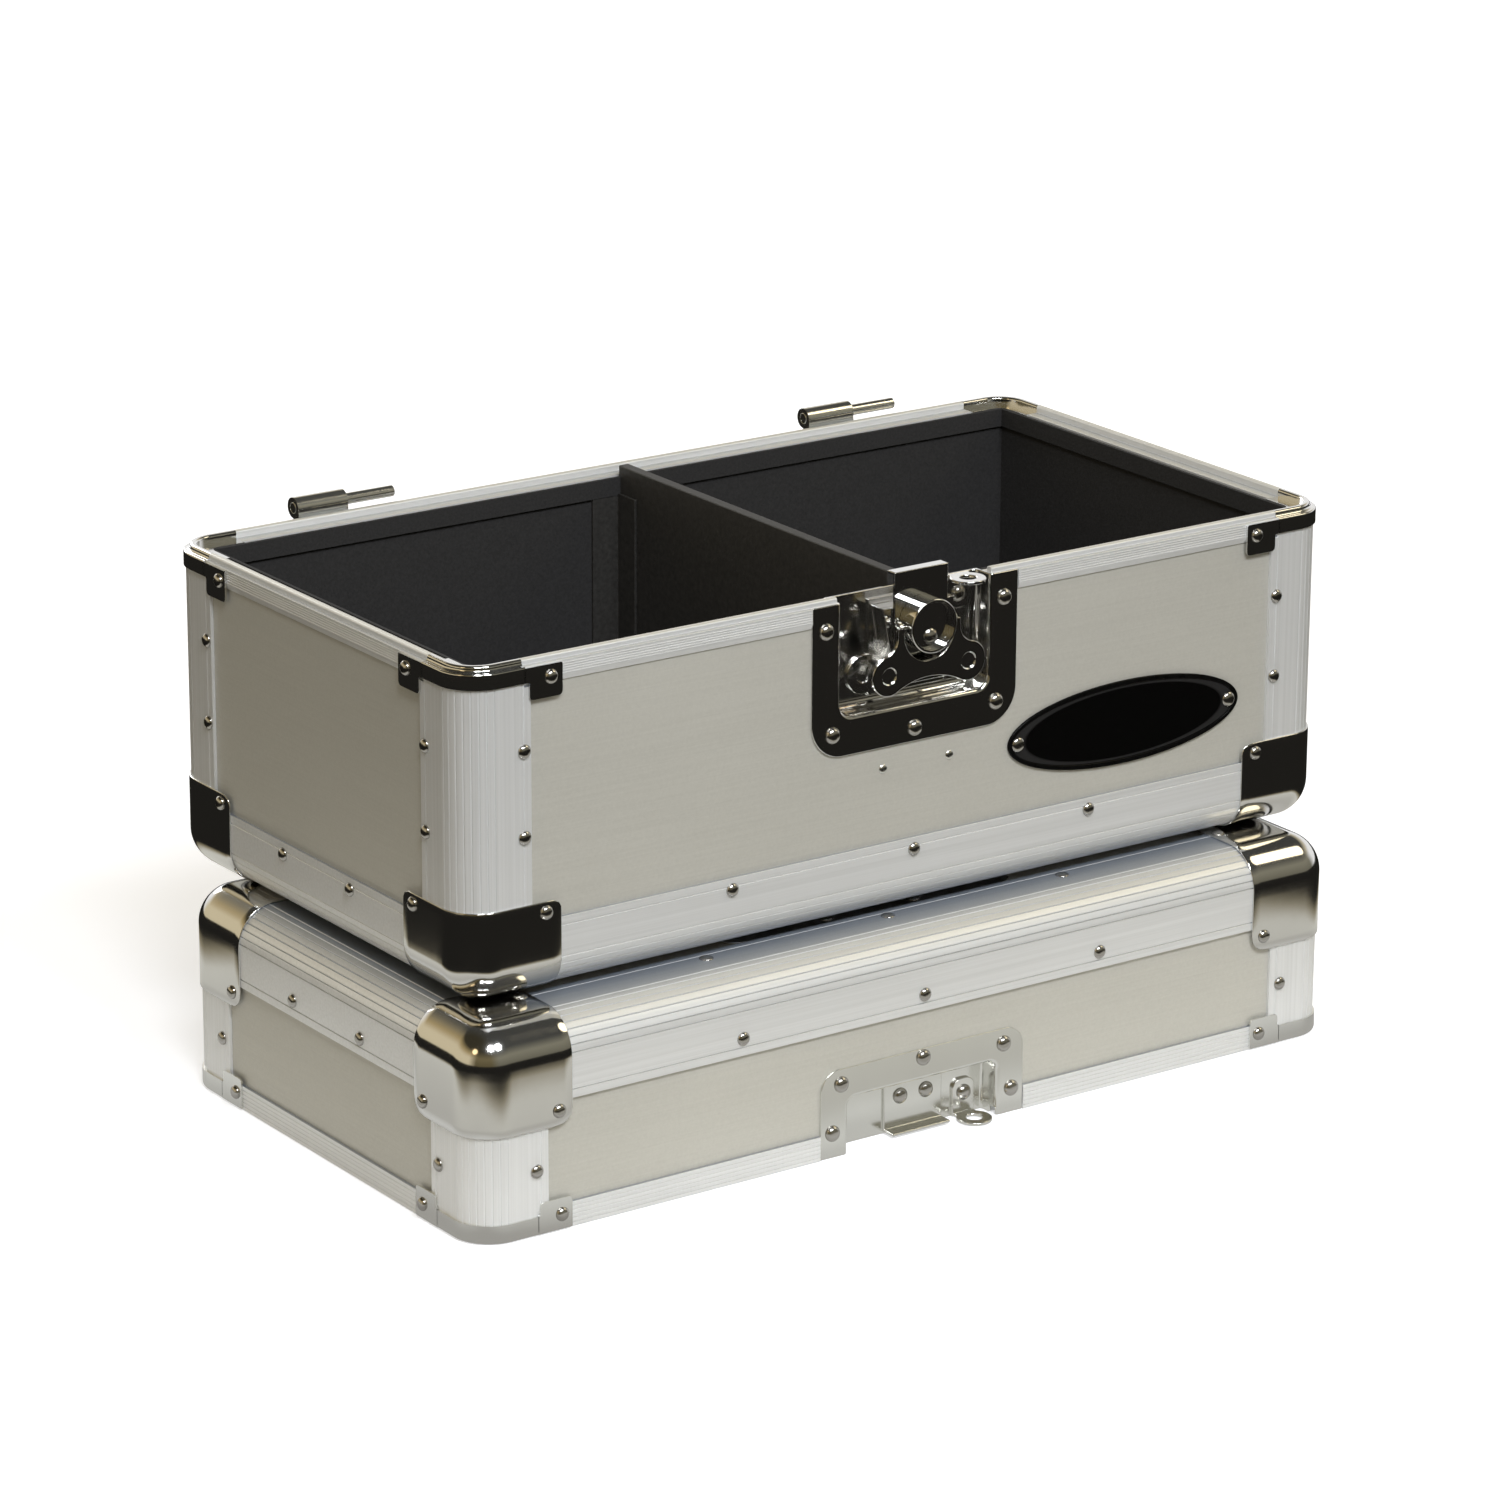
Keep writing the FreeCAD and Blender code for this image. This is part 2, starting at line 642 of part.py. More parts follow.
def ball_corner(height, ear_round):
    """A pressed corner shell with three square ears, corner at the origin and height along +Z."""
    outer = rounded_corner_block(CORNER_SHEET, BALL_REACH, height, EDGE_RADIUS + CORNER_SHEET)
    inner = rounded_corner_block(0, BALL_REACH + OVERRUN, height + OVERRUN, EDGE_RADIUS)
    front_bite = ear_bite(BALL_REACH, height, ear_round)
    side_bite = front_bite.mirror(V(0, 0, 0), V(1, -1, 0).normalize())
    level_bite = ear_bite(BALL_REACH, BALL_REACH, ear_round)
    level_bite.rotate(V(0, 0, 0), AX_X, -QUARTER)
    return outer.cut(inner).cut(front_bite).cut(side_bite).cut(level_bite)


def ear_bite(reach, height, r):
    """What a rounded far corner of a front ear leaves over, in the XZ plane."""
    diag = r * (1 - math.sqrt(0.5))
    pts = [
        V(reach - r, 0, height),
        (V(reach - diag, 0, height - diag), V(reach, 0, height - r)),
        V(reach + OVERRUN, 0, height - r),
        V(reach + OVERRUN, 0, height + OVERRUN),
        V(reach - r, 0, height + OVERRUN),
    ]
    face = path_face(pts)
    face.translate(V(0, -OVERRUN, 0))
    return face.extrude(V(0, OVERRUN * 2, 0))


def lid_ball_corners():
    shell = mirrored(ball_corner(LID_BALL_HEIGHT, LID_BALL_ROUND), AX_Z)
    shell.translate(V(-HALF_L, -HALF_D, LID_HEIGHT))
    return four_ways(shell)


def base_ball_corners():
    shell = ball_corner(BASE_BALL_HEIGHT, BASE_BALL_ROUND)
    shell.translate(V(-HALF_L, -HALF_D, 0))
    return four_ways(shell)


# Panels

def recess_cut(half, z0, z1):
    """The notch that a dish's tub needs through the front panel."""
    return box(-half, half, -HALF_D - OVERRUN, -HALF_D + SKIN_IN + OVERRUN, z0, z1)


def wall_panels(z0, z1, notch):
    r = EDGE_RADIUS
    front = box(r - HALF_L, HALF_L - r, SHEET - HALF_D, PANEL_IN - HALF_D, z0, z1)
    back = mirrored(front, AX_Y)
    side = box(SHEET - HALF_L, PANEL_IN - HALF_L, r - HALF_D, HALF_D - r, z0, z1)
    return front.cut(notch), back, side, mirrored(side, AX_X)


def floor_panel(z0, z1):
    r = EDGE_RADIUS
    return box(r - HALF_L, HALF_L - r, r - HALF_D, HALF_D - r, z0, z1)


def lining(z_floor, z_open, bumps, dish_clear):
    """A thin tray against the panels, raised over the back of each dish."""
    a = SKIN_IN
    b = SKIN_IN + LINING_THICK
    low = min(z_floor, z_open)
    high = max(z_floor, z_open)
    way = 1 if z_open > z_floor else -1
    outer = box(a - HALF_L, HALF_L - a, a - HALF_D, HALF_D - a, low, high)
    if way > 0:
        inner = box(b - HALF_L, HALF_L - b, b - HALF_D, HALF_D - b, low + LINING_THICK, high + OVERRUN)
    else:
        inner = box(b - HALF_L, HALF_L - b, b - HALF_D, HALF_D - b, low - OVERRUN, high - LINING_THICK)
    tray = outer.cut(inner)
    for bump in bumps:
        tray = tray.fuse(bump)
    for clear in dish_clear:
        tray = tray.cut(clear)
    return tray.removeSplitter()


# Base dish and latch

def rounded_tub(tub, half, low, high, open_z, lip_y, floor_y, floor_round):
    """Rounds a tub's drawn lip and the edge of its floor, but not the edges on its open side."""
    near = DISH_SHEET / 10

    def outline(edge, y):
        points = [vertex.Point for vertex in edge.Vertexes]
        inside = all(abs(p.x) < half + near and low - near < p.z < high + near for p in points)
        closed = any(abs(p.z - open_z) > near for p in points)
        return inside and closed and all(abs(p.y - y) < near for p in points)

    tub = tub.makeFillet(DISH_LIP_ROUND, [edge for edge in tub.Edges if outline(edge, lip_y)])
    return tub.makeFillet(floor_round, [edge for edge in tub.Edges if outline(edge, floor_y)])


def latch_dish():
    """Flanged tub, open at the rim, drawn from one sheet."""
    out = SHEET - DISH_SHEET
    half = LATCH_DISH_WIDTH / 2
    rec = LATCH_RECESS_WIDTH / 2
    zr = BASE_HEIGHT - LATCH_RECESS_HEIGHT
    flange = rounded_rect(-half, half, LATCH_DISH_LOW, BASE_HEIGHT, LATCH_DISH_ROUND, 0, front_y(out))
    flange = flange.extrude(V(0, DISH_SHEET, 0))
    tub_round = LATCH_RECESS_ROUND + DISH_SHEET
    tub = rounded_rect(
        -rec - DISH_SHEET, rec + DISH_SHEET, zr - DISH_SHEET, BASE_HEIGHT, tub_round, 0, front_y(out)
    )
    tub = tub.extrude(V(0, RECESS_BACK + DISH_SHEET - out, 0))
    recess = rounded_rect(
        -rec, rec, zr, BASE_HEIGHT + OVERRUN * 2, LATCH_RECESS_ROUND, 0, front_y(out - OVERRUN)
    )
    recess = recess.extrude(V(0, RECESS_BACK + OVERRUN - out, 0))
    dish = fused([flange, tub]).cut(recess)
    floor = front_y(RECESS_BACK)
    return rounded_tub(dish, rec, zr, BASE_HEIGHT, BASE_HEIGHT, front_y(out), floor, LATCH_FLOOR_ROUND)


def latch_base_plate():
    """Lobed back plate with the raised housing that the hook slides on, and its two guide rails."""
    back = RECESS_BACK
    front = back - PLATE_SHEET
    y0 = front_y(front)
    zmid = PLATE_LOBE_Z
    plate_low = BASE_HEIGHT - BASE_PLATE_LOW_DOWN
    plate_top = BASE_HEIGHT - BASE_PLATE_TOP_DOWN
    plate_face = box(-BASE_PLATE_HALF, BASE_PLATE_HALF, y0, front_y(back), plate_low, plate_top)
    lobes = []
    for side in (-1, 1):
        lobe = rod(V(side * PLATE_LOBE_X, y0, zmid), AX_Y, PLATE_LOBE_RADIUS, PLATE_SHEET)
        dimple = rod(V(side * PLATE_LOBE_X, y0, zmid), AX_Y, DIMPLE_RADIUS, DIMPLE_DEPTH)
        lobes.append(lobe.cut(dimple))

    def trapezoid(inset, y_from, y_to):
        low = HOUSING_LOW_HALF - inset
        top = HOUSING_TOP_HALF - inset
        z0 = BASE_HEIGHT - HOUSING_LOW_DOWN + inset
        z1 = BASE_HEIGHT - HOUSING_TOP_DOWN - inset
        pts = [V(-low, y_from, z0), V(low, y_from, z0), V(top, y_from, z1), V(-top, y_from, z1)]
        return path_face(pts).extrude(V(0, y_to - y_from, 0))

    shell = trapezoid(0, front_y(HOUSING_FRONT), y0)
    hollow = trapezoid(PLATE_SHEET, front_y(HOUSING_FRONT + PLATE_SHEET), y0)
    shell = shell.cut(hollow)
    half = HOOK_WIDTH / 2 + SLIDE_GAP
    rails = []
    for side in (-1, 1):
        cheek = [side * half, side * (half + RAIL_SIDE)]
        cap = [side * (half - SLIDE_GAP - RAIL_OVERLAP), side * (half + RAIL_SIDE)]
        cap_front = HOOK_FACE - SLIDE_GAP - RAIL_CAP
        rails.append(box(min(cheek), max(cheek), front_y(cap_front), y0, RAIL_LOW_Z, RAIL_TOP_Z))
        cap_back = cap_front + RAIL_CAP
        rails.append(box(min(cap), max(cap), front_y(cap_front), front_y(cap_back), RAIL_LOW_Z, RAIL_TOP_Z))
    bore = rod(V(0, front_y(HOUSING_FRONT - OVERRUN), PIVOT_Z), AX_Y, PIVOT_RADIUS, OVERRUN * 2)
    whole = fused([plate_face, shell] + lobes + rails).cut(bore)
    whole.translate(V(LATCH_X, 0, 0))
    return whole


def latch_pivot():
    """Rivet through the cam: a shank with a head in the drum's cup and one behind the housing's wall."""
    cup_floor = DRUM_FACE + CUP_DEPTH
    head = dome(
        V(LATCH_X, front_y(cup_floor - SLIDE_GAP), PIVOT_Z),
        V(0, -1, 0), PIVOT_HEAD_RADIUS, PIVOT_HEAD_HEIGHT
    )
    inner = HOUSING_FRONT + PLATE_SHEET
    shank = rod(
        V(LATCH_X, front_y(cup_floor - SLIDE_GAP), PIVOT_Z),
        AX_Y, PIVOT_RADIUS, inner - cup_floor + SLIDE_GAP
    )
    tail = rod(V(LATCH_X, front_y(inner), PIVOT_Z), AX_Y, PIVOT_HEAD_RADIUS, PIVOT_HEAD_HEIGHT)
    return fused([head, shank, tail])


def latch_hook():
    """Flat hook with the cam's slot, whose top edge is folded back over the keeper's lip."""
    half = HOOK_WIDTH / 2
    plate_face = rounded_rect(-half, half, HOOK_LOW_Z, HOOK_TOP_Z, HOOK_ROUND, 0, front_y(HOOK_FACE))
    blade = plate_face.extrude(V(0, HOOK_THICK, 0))
    lip_y = front_y(HOOK_FACE)
    lip = box(-half, half, lip_y, lip_y + HOOK_LIP_REACH, HOOK_TOP_Z - HOOK_THICK, HOOK_TOP_Z)
    sway = CAM_OFFSET * CAM_SWAY_SHARE
    slot_half_x = CAM_RADIUS + CAM_OFFSET + CAM_SLOT_GAP
    slot_half_z = CAM_RADIUS + sway + CAM_SLOT_GAP
    mid = PIVOT_Z + CAM_OFFSET
    slot = rounded_rect(
        -slot_half_x, slot_half_x, mid - slot_half_z,
        mid + slot_half_z, CAM_RADIUS / 2, CAM_RADIUS / 2, lip_y - OVERRUN
    )
    slot = slot.extrude(V(0, OVERRUN * 2, 0))
    hook = fused([blade, lip]).cut(slot)
    hook.translate(V(LATCH_X, 0, 0))
    return hook


def latch_cam():
    """Cupped drum with the smaller off-centre disc behind it, bored for the pivot and the wing pin."""
    drum = rod(V(0, front_y(DRUM_FACE), DRUM_Z), AX_Y, DRUM_RADIUS, DRUM_HEIGHT)
    rims = [edge for edge in drum.Edges if edge.CenterOfMass.y < front_y(DRUM_FACE) + DRUM_EDGE]
    drum = drum.makeFillet(DRUM_EDGE, rims)
    cup = rod(V(0, front_y(DRUM_FACE), DRUM_Z), AX_Y, DRUM_RADIUS - DRUM_WALL, CUP_DEPTH)
    disc_length = HOUSING_FRONT - SLIDE_GAP / 2 - CAM_FACE
    disc = rod(V(0, front_y(CAM_FACE), PIVOT_Z + CAM_OFFSET), AX_Y, CAM_RADIUS, disc_length)
    bore = rod(
        V(0, front_y(DRUM_FACE), PIVOT_Z), AX_Y, PIVOT_RADIUS + RUNNING_GAP, DRUM_HEIGHT + disc_length
    )
    pin = rod(
        V(-DRUM_RADIUS * 2, front_y(-WING_PIN_FACE), DRUM_Z), AX_X, WING_PIN_RADIUS, DRUM_RADIUS * 4
    )
    cam = fused([drum, disc]).cut(cup).cut(bore).cut(pin)
    cam.translate(V(LATCH_X, 0, 0))
    return cam


def latch_wing_pin():
    half = WING_PIN_LENGTH / 2
    return rod(V(LATCH_X - half, front_y(-WING_PIN_FACE), DRUM_Z), AX_X, WING_PIN_RADIUS, WING_PIN_LENGTH)


def latch_wing():
    """Butterfly thumb plate: two lobes with dimples, a U cut for the drum and two ears on the pin."""
    y = front_y(-WING_FRONT)
    inner = DRUM_RADIUS + WING_GAP
    outer = inner + WING_ARM
    lobe = V(WING_LOBE_X, y, -WING_LOBE_Z)

    def on_lobe(degrees):
        angle = math.radians(degrees)
        return lobe + V(math.cos(angle) * WING_LOBE_RADIUS, 0, math.sin(angle) * WING_LOBE_RADIUS)

    def flip(point):
        return V(-point.x, point.y, point.z)

    notch_mid = inner - WING_NOTCH_DEPTH
    crown = on_lobe(LOBE_CROWN_ANGLE)
    foot = on_lobe(LOBE_FOOT_ANGLE)
    shoulder = V(WING_SHOULDER_X, y, -WING_SHOULDER_Z)
    side_mid = on_lobe((LOBE_CROWN_ANGLE + LOBE_FOOT_ANGLE) / 2)
    arm_end = V(outer, y, -EAR_RADIUS)
    pts = [
        V(inner, y, WING_TOP),
        V(outer, y, WING_TOP),
        arm_end,
        (shoulder, crown),
        (side_mid, foot),
        (V(0, y, -WING_WAIST), flip(foot)),
        (flip(side_mid), flip(crown)),
        (flip(shoulder), flip(arm_end)),
        V(-outer, y, WING_TOP),
        V(-inner, y, WING_TOP),
        V(-inner, y, notch_mid),
        (V(0, y, -WING_NOTCH_DEPTH), V(inner, y, notch_mid)),
    ]
    wing = path_face(pts).extrude(V(0, WING_THICK, 0))
    pin_y = front_y(-WING_PIN_FACE)
    for side in (-1, 1):
        x0 = min(side * inner, side * (inner + EAR_THICK))
        ear = rod(V(x0, pin_y, 0), AX_X, EAR_RADIUS, EAR_THICK)
        web = box(x0, x0 + EAR_THICK, y, pin_y, -EAR_RADIUS, WING_TOP)
        dimple = rod(V(side * WING_LOBE_X, y, -WING_LOBE_Z), AX_Y, DIMPLE_RADIUS, DIMPLE_DEPTH)
        wing = fused([wing, ear, web]).cut(dimple)
    hole = rod(V(-outer * 2, pin_y, 0), AX_X, WING_PIN_RADIUS + RUNNING_GAP, outer * 4)
    wing = wing.cut(hole)
    wing.translate(V(LATCH_X, 0, DRUM_Z))
    return wing


def hasp(eye_face, z_eye, strap_z0, strap_z1, rounded_top):
    """Padlock hasp: a strap on the back of the recess, folded forward into a level eye."""
    back = RECESS_BACK
    front = back - HASP_SHEET
    round_low = 0 if rounded_top else HASP_STRAP_HALF - HASP_SHEET
    round_top = HASP_STRAP_HALF - HASP_SHEET if rounded_top else 0
    strap = rounded_rect(
        HASP_X - HASP_STRAP_HALF, HASP_X + HASP_STRAP_HALF, strap_z0, strap_z1, round_low, round_top,
        front_y(front)
    )
    strap = strap.extrude(V(0, HASP_SHEET, 0))
    neck = box(
        HASP_X - EYE_NECK_HALF, HASP_X + EYE_NECK_HALF,
        front_y(eye_face), front_y(back), z_eye, z_eye + HASP_SHEET
    )
    ring = rod(V(HASP_X, front_y(eye_face), z_eye), AX_Z, EYE_RADIUS, HASP_SHEET)
    hole = rod(V(HASP_X, front_y(eye_face), z_eye - OVERRUN), AX_Z, EYE_HOLE, OVERRUN * 2 + HASP_SHEET)
    return fused([strap, neck, ring]).cut(hole)


# Lid dishes

def keeper_dish():
    """Flanged tub in the lid's front, open at the rim, with the groove carried past the recess."""
    out = SHEET - DISH_SHEET
    half = KEEPER_DISH_WIDTH / 2
    rec = half - KEEPER_STRIP
    top = KEEPER_DISH_HEIGHT
    flange = rounded_rect(-half, half, 0, top, 0, KEEPER_DISH_ROUND, front_y(out))
    flange = flange.extrude(V(0, DISH_SHEET, 0))
    zr = top - KEEPER_STRIP
    tub_round = KEEPER_RECESS_ROUND + DISH_SHEET
    tub = rounded_rect(
        -rec - DISH_SHEET, rec + DISH_SHEET, 0, zr + DISH_SHEET, 0, tub_round, front_y(out)
    )
    tub = tub.extrude(V(0, RECESS_BACK + DISH_SHEET - out, 0))
    recess = rounded_rect(-rec, rec, -OVERRUN, zr, 0, KEEPER_RECESS_ROUND, front_y(out - OVERRUN))
    recess = recess.extrude(V(0, RECESS_BACK + OVERRUN - out, 0))
    dish = fused([flange, tub]).cut(recess)
    dish = rounded_tub(dish, rec, 0, zr, 0, front_y(out), front_y(RECESS_BACK), KEEPER_FLOOR_ROUND)
    return dish.cut(box(-half, half, front_y(SHEET), front_y(JOINT_BACK), -OVERRUN, JOINT_ROOF))


def keeper_plate():
    """Keeper: a plate riveted to the back of the recess with a lip folded forward for the hook."""
    half = KEEPER_WIDTH / 2
    back = RECESS_BACK
    front = back - PLATE_SHEET
    blade = rounded_rect(
        -half, half, KEEPER_LIP_TOP - PLATE_SHEET, KEEPER_TOP_Z, 0, HOOK_ROUND, front_y(front)
    )
    blade = blade.extrude(V(0, PLATE_SHEET, 0))
    lip = box(
        -half, half, front_y(front - KEEPER_LIP_REACH),
        front_y(back), KEEPER_LIP_TOP - PLATE_SHEET, KEEPER_LIP_TOP
    )
    keeper = fused([blade, lip])
    keeper.translate(V(KEEPER_X, 0, 0))
    return keeper


def handle_centre_y():
    return HANDLE_DISH_FRONT + HANDLE_DISH_DEPTH / 2 - HALF_D


def handle_dish():
    """Flanged tub let into the lid's top panel."""
    outer = LID_HEIGHT - SHEET + DISH_SHEET
    cy = handle_centre_y()

    def pad(length, depth, radius, z0, z1):
        face = rounded_rect(-length / 2, length / 2, -depth / 2, depth / 2, radius, radius, 0)
        solid = face.extrude(V(0, z1 - z0, 0))
        solid.rotate(V(0, 0, 0), AX_X, QUARTER)
        solid.translate(V(0, cy, z0))
        return solid

    sheet = DISH_SHEET
    flange = pad(HANDLE_DISH_LENGTH, HANDLE_DISH_DEPTH, HANDLE_DISH_ROUND, outer - sheet, outer)
    low = outer - HANDLE_RECESS_DOWN
    tub = pad(
        HANDLE_RECESS_LENGTH + sheet * 2,
        HANDLE_RECESS_DEPTH + sheet * 2, HANDLE_RECESS_ROUND + sheet, low - sheet, outer
    )
    hollow = pad(HANDLE_RECESS_LENGTH, HANDLE_RECESS_DEPTH, HANDLE_RECESS_ROUND, low, outer + OVERRUN)
    return fused([flange, tub]).cut(hollow)


def handle_floor():
    return LID_HEIGHT - SHEET + DISH_SHEET - HANDLE_RECESS_DOWN


def handle_axis():
    """The handle's hinge line: its y and z in the lid's frame."""
    y = handle_centre_y() + BAIL_REACH / 2
    z = handle_floor() + GRIP_RADIUS + BAIL_FLOOR_GAP
    return y, z


def handle_bail():
    """U-shaped steel bail lying flat in its dish, with an eye at each end."""
    y, z = handle_axis()
    half = BAIL_SPAN / 2
    r = BAIL_RADIUS
    bend = BAIL_BEND
    front = y - BAIL_REACH
    long_bar = rod(V(bend - half, front, z), AX_X, r, BAIL_SPAN - bend * 2)
    pieces = [long_bar]
    for side in (-1, 1):
        arm = rod(V(side * half, front + bend, z), AX_Y, r, BAIL_REACH - bend)
        circle = Part.Face(Part.Wire(Part.Circle(V(side * half, front + bend, z), AX_Y, r).toShape()))
        elbow = circle.revolve(V(side * (half - bend), front + bend, z), AX_Z, -side * QUARTER)
        eye = rod(V(side * half - BAIL_EYE_THICK / 2, y, z), AX_X, BAIL_EYE_RADIUS, BAIL_EYE_THICK)
        pieces += [arm, elbow, eye]
    hole = rod(V(-half * 2, y, z), AX_X, BAIL_PIN_RADIUS + RUNNING_GAP, half * 4)
    return fused(pieces).cut(hole)


def handle_grip():
    """Moulded grip on the bail's long side."""
    y, z = handle_axis()
    front = y - BAIL_REACH
    half = GRIP_LENGTH / 2
    sleeve = rod(V(-half, front, z), AX_X, GRIP_RADIUS, GRIP_LENGTH)
    sleeve = sleeve.makeFillet(
        BAIL_RADIUS / 2, [e for e in sleeve.Edges if abs(abs(e.CenterOfMass.x) - half) < RUNNING_GAP]
    )
    return sleeve.cut(rod(V(-half * 2, front, z), AX_X, BAIL_RADIUS, half * 4))


def handle_brackets():
    """Two cheeks outside each end of the bail, riveted to the dish's floor, that hold the pins."""
    y, z = handle_axis()
    floor = handle_floor()
    solids = []
    for side in (-1, 1):
        inner = BAIL_SPAN / 2 + BAIL_EYE_THICK / 2 + BAIL_EYE_GAP
        x0 = min(side * inner, side * (inner + BRACKET_THICK))
        cheek = box(x0, x0 + BRACKET_THICK, y - BRACKET_HALF, y + BRACKET_HALF, floor, z)
        head = rod(V(x0, y, z), AX_X, BRACKET_HALF, BRACKET_THICK)
        bore = rod(V(x0 - OVERRUN, y, z), AX_X, BAIL_PIN_RADIUS, BRACKET_THICK + OVERRUN * 2)
        solids.append(fused([cheek, head]).cut(bore))
    return solids


def handle_pins():
    y, z = handle_axis()
    solids = []
    for side in (-1, 1):
        a = side * (BAIL_SPAN / 2 - BAIL_EYE_THICK / 2)
        b = side * (BAIL_SPAN / 2 + BAIL_EYE_THICK / 2 + BAIL_EYE_GAP + BRACKET_THICK)
        solids.append(rod(V(min(a, b), y, z), AX_X, BAIL_PIN_RADIUS, abs(b - a)))
    return solids


# Rivet groups

def mirror_x_points(points):
    return points + [(-x, z) for x, z in points]


def hinge_rivets(z):
    """Two rivets through each hinge leaf on the back."""
    out = V(0, 1, 0)
    solids = []
    for middle in (-HINGE_X, HINGE_X):
        for side in (-1, 1):
            place = V(middle + side * HINGE_RIVET_HALF, HALF_D + HINGE_LEAF, z)
            solids.append(rivet(place, out))
    return solids


def base_rivets():
    out_f = V(0, -1, 0)
    out_s = V(-1, 0, 0)
    face = -HALF_D
    skin = -HALF_D - CORNER_SHEET
    side = -HALF_L
    side_skin = -HALF_L - CORNER_SHEET
    post_x = POST_RIVET_INSET - HALF_L
    post_y = POST_RIVET_INSET - HALF_D
    clamp_z = BASE_HEIGHT - BASE_CLAMP_RIVET_DOWN
    quarter = []
    for share in BASE_POST_RIVET_SHARES:
        z = BASE_HEIGHT * share
        quarter.append(rivet(V(post_x, face, z), out_f))
        quarter.append(rivet(V(side, post_y, z), out_s))
    quarter.append(rivet(V(ROW_PITCH, face, ROW_INSET), out_f))
    quarter.append(rivet(V(side, SIDE_ROW_HALF, ROW_INSET), out_s))
    quarter.append(rivet(V(BASE_BALL_RIVET_IN - HALF_L, skin, BASE_BALL_RIVET_UP), out_f))
    quarter.append(rivet(V(side_skin, BASE_BALL_RIVET_IN - HALF_D, BASE_BALL_RIVET_UP), out_s))
    quarter.append(rivet(V(BASE_CLAMP_RIVET_IN - HALF_L, skin, clamp_z), out_f))
    quarter.append(rivet(V(side_skin, BASE_CLAMP_RIVET_IN - HALF_D, clamp_z), out_s))
    solids = []
    for one in quarter:
        solids += four_ways(one)
    middle = rivet(V(0, face, ROW_INSET), out_f)
    hinges = hinge_rivets(BASE_HEIGHT - HINGE_LEAF_HEIGHT + HINGE_RIVET_INSET)
    return solids + hinges + [middle, mirrored(middle, AX_Y)]


def lid_rivets():
    out_f = V(0, -1, 0)
    out_s = V(-1, 0, 0)
    out_t = V(0, 0, 1)
    face = -HALF_D
    skin = -HALF_D - CORNER_SHEET
    side = -HALF_L
    side_skin = -HALF_L - CORNER_SHEET
    row_z = LID_HEIGHT - ROW_INSET
    ball_z = LID_HEIGHT - LID_BALL_RIVET_DOWN
    quarter = [
        rivet(V(POST_RIVET_INSET - HALF_L, face, LID_POST_RIVET), out_f),
        rivet(V(side, POST_RIVET_INSET - HALF_D, LID_POST_RIVET), out_s),
        rivet(V(ROW_PITCH, face, row_z), out_f),
        rivet(V(side, SIDE_ROW_HALF, row_z), out_s),
        rivet(V(LID_BALL_RIVET_IN - HALF_L, skin, ball_z), out_f),
        rivet(V(side_skin, LID_BALL_RIVET_IN - HALF_D, ball_z), out_s),
        rivet(V(LID_CLAMP_RIVET_IN - HALF_L, skin, LID_CLAMP_RIVET_UP), out_f),
        rivet(V(side_skin, LID_CLAMP_RIVET_IN - HALF_D, LID_CLAMP_RIVET_UP), out_s),
        dome(V(ROW_PITCH, ROW_INSET - HALF_D, LID_HEIGHT), out_t, RIVET_RADIUS, SMALL_RIVET_HEIGHT),
        dome(
            V(LID_TOP_EAR_RIVET_X - HALF_L, LID_TOP_EAR_RIVET_Y - HALF_D, LID_HEIGHT + CORNER_SHEET),
            out_t, RIVET_RADIUS, SMALL_RIVET_HEIGHT
        ),
    ]
    solids = []
    for one in quarter:
        solids += four_ways(one)
    middle = rivet(V(0, face, row_z), out_f)
    top = dome(V(0, ROW_INSET - HALF_D, LID_HEIGHT), out_t, RIVET_RADIUS, SMALL_RIVET_HEIGHT)
    hinges = hinge_rivets(lid_leaf_top() - HINGE_RIVET_INSET)
    return solids + hinges + [middle, mirrored(middle, AX_Y), top, mirrored(top, AX_Y)]


def dish_rivet(x, z, y):
    return dome(V(x, y, z), V(0, -1, 0), DISH_RIVET_RADIUS, DISH_RIVET_HEIGHT)


def latch_dish_rivets():
    y = front_y(SHEET - DISH_SHEET)
    high = (LATCH_DISH_RIVET_X, BASE_HEIGHT - LATCH_DISH_RIVET_DOWN)
    low = (LATCH_DISH_LOW_X, LATCH_DISH_LOW + LATCH_DISH_LOW_RIVET_UP)
    places = mirror_x_points([high, low]) + [(0, LATCH_DISH_LOW + LATCH_DISH_MID_RIVET_UP)]
    return [dish_rivet(x, z, y) for x, z in places]


def spare_rivets():
    """Two small rivets under the dish."""
    y = front_y(SHEET)
    out = V(0, -1, 0)
    z = LATCH_DISH_LOW - SPARE_RIVET_DROP
    places = (SPARE_RIVET_LEFT, SPARE_RIVET_RIGHT)
    return [dome(V(x, y, z), out, SMALL_RIVET_RADIUS, SMALL_RIVET_HEIGHT) for x in places]


def keeper_dish_rivets():
    y = front_y(SHEET - DISH_SHEET)
    places = mirror_x_points(
        [(KEEPER_DISH_RIVET_X, KEEPER_DISH_RIVET_Z), (KEEPER_DISH_TOP_X, KEEPER_DISH_TOP_Z)]
    )
    places.append((0, KEEPER_DISH_MID_Z))
    return [dish_rivet(x, z, y) for x, z in places]


def keeper_rivets():
    y = front_y(RECESS_BACK - PLATE_SHEET)
    places = (KEEPER_X - KEEPER_RIVET_HALF, KEEPER_X + KEEPER_RIVET_HALF)
    return [dish_rivet(x, KEEPER_RIVET_Z, y) for x in places]


def hasp_rivet(z):
    return dish_rivet(HASP_X, z, front_y(RECESS_BACK - HASP_SHEET))


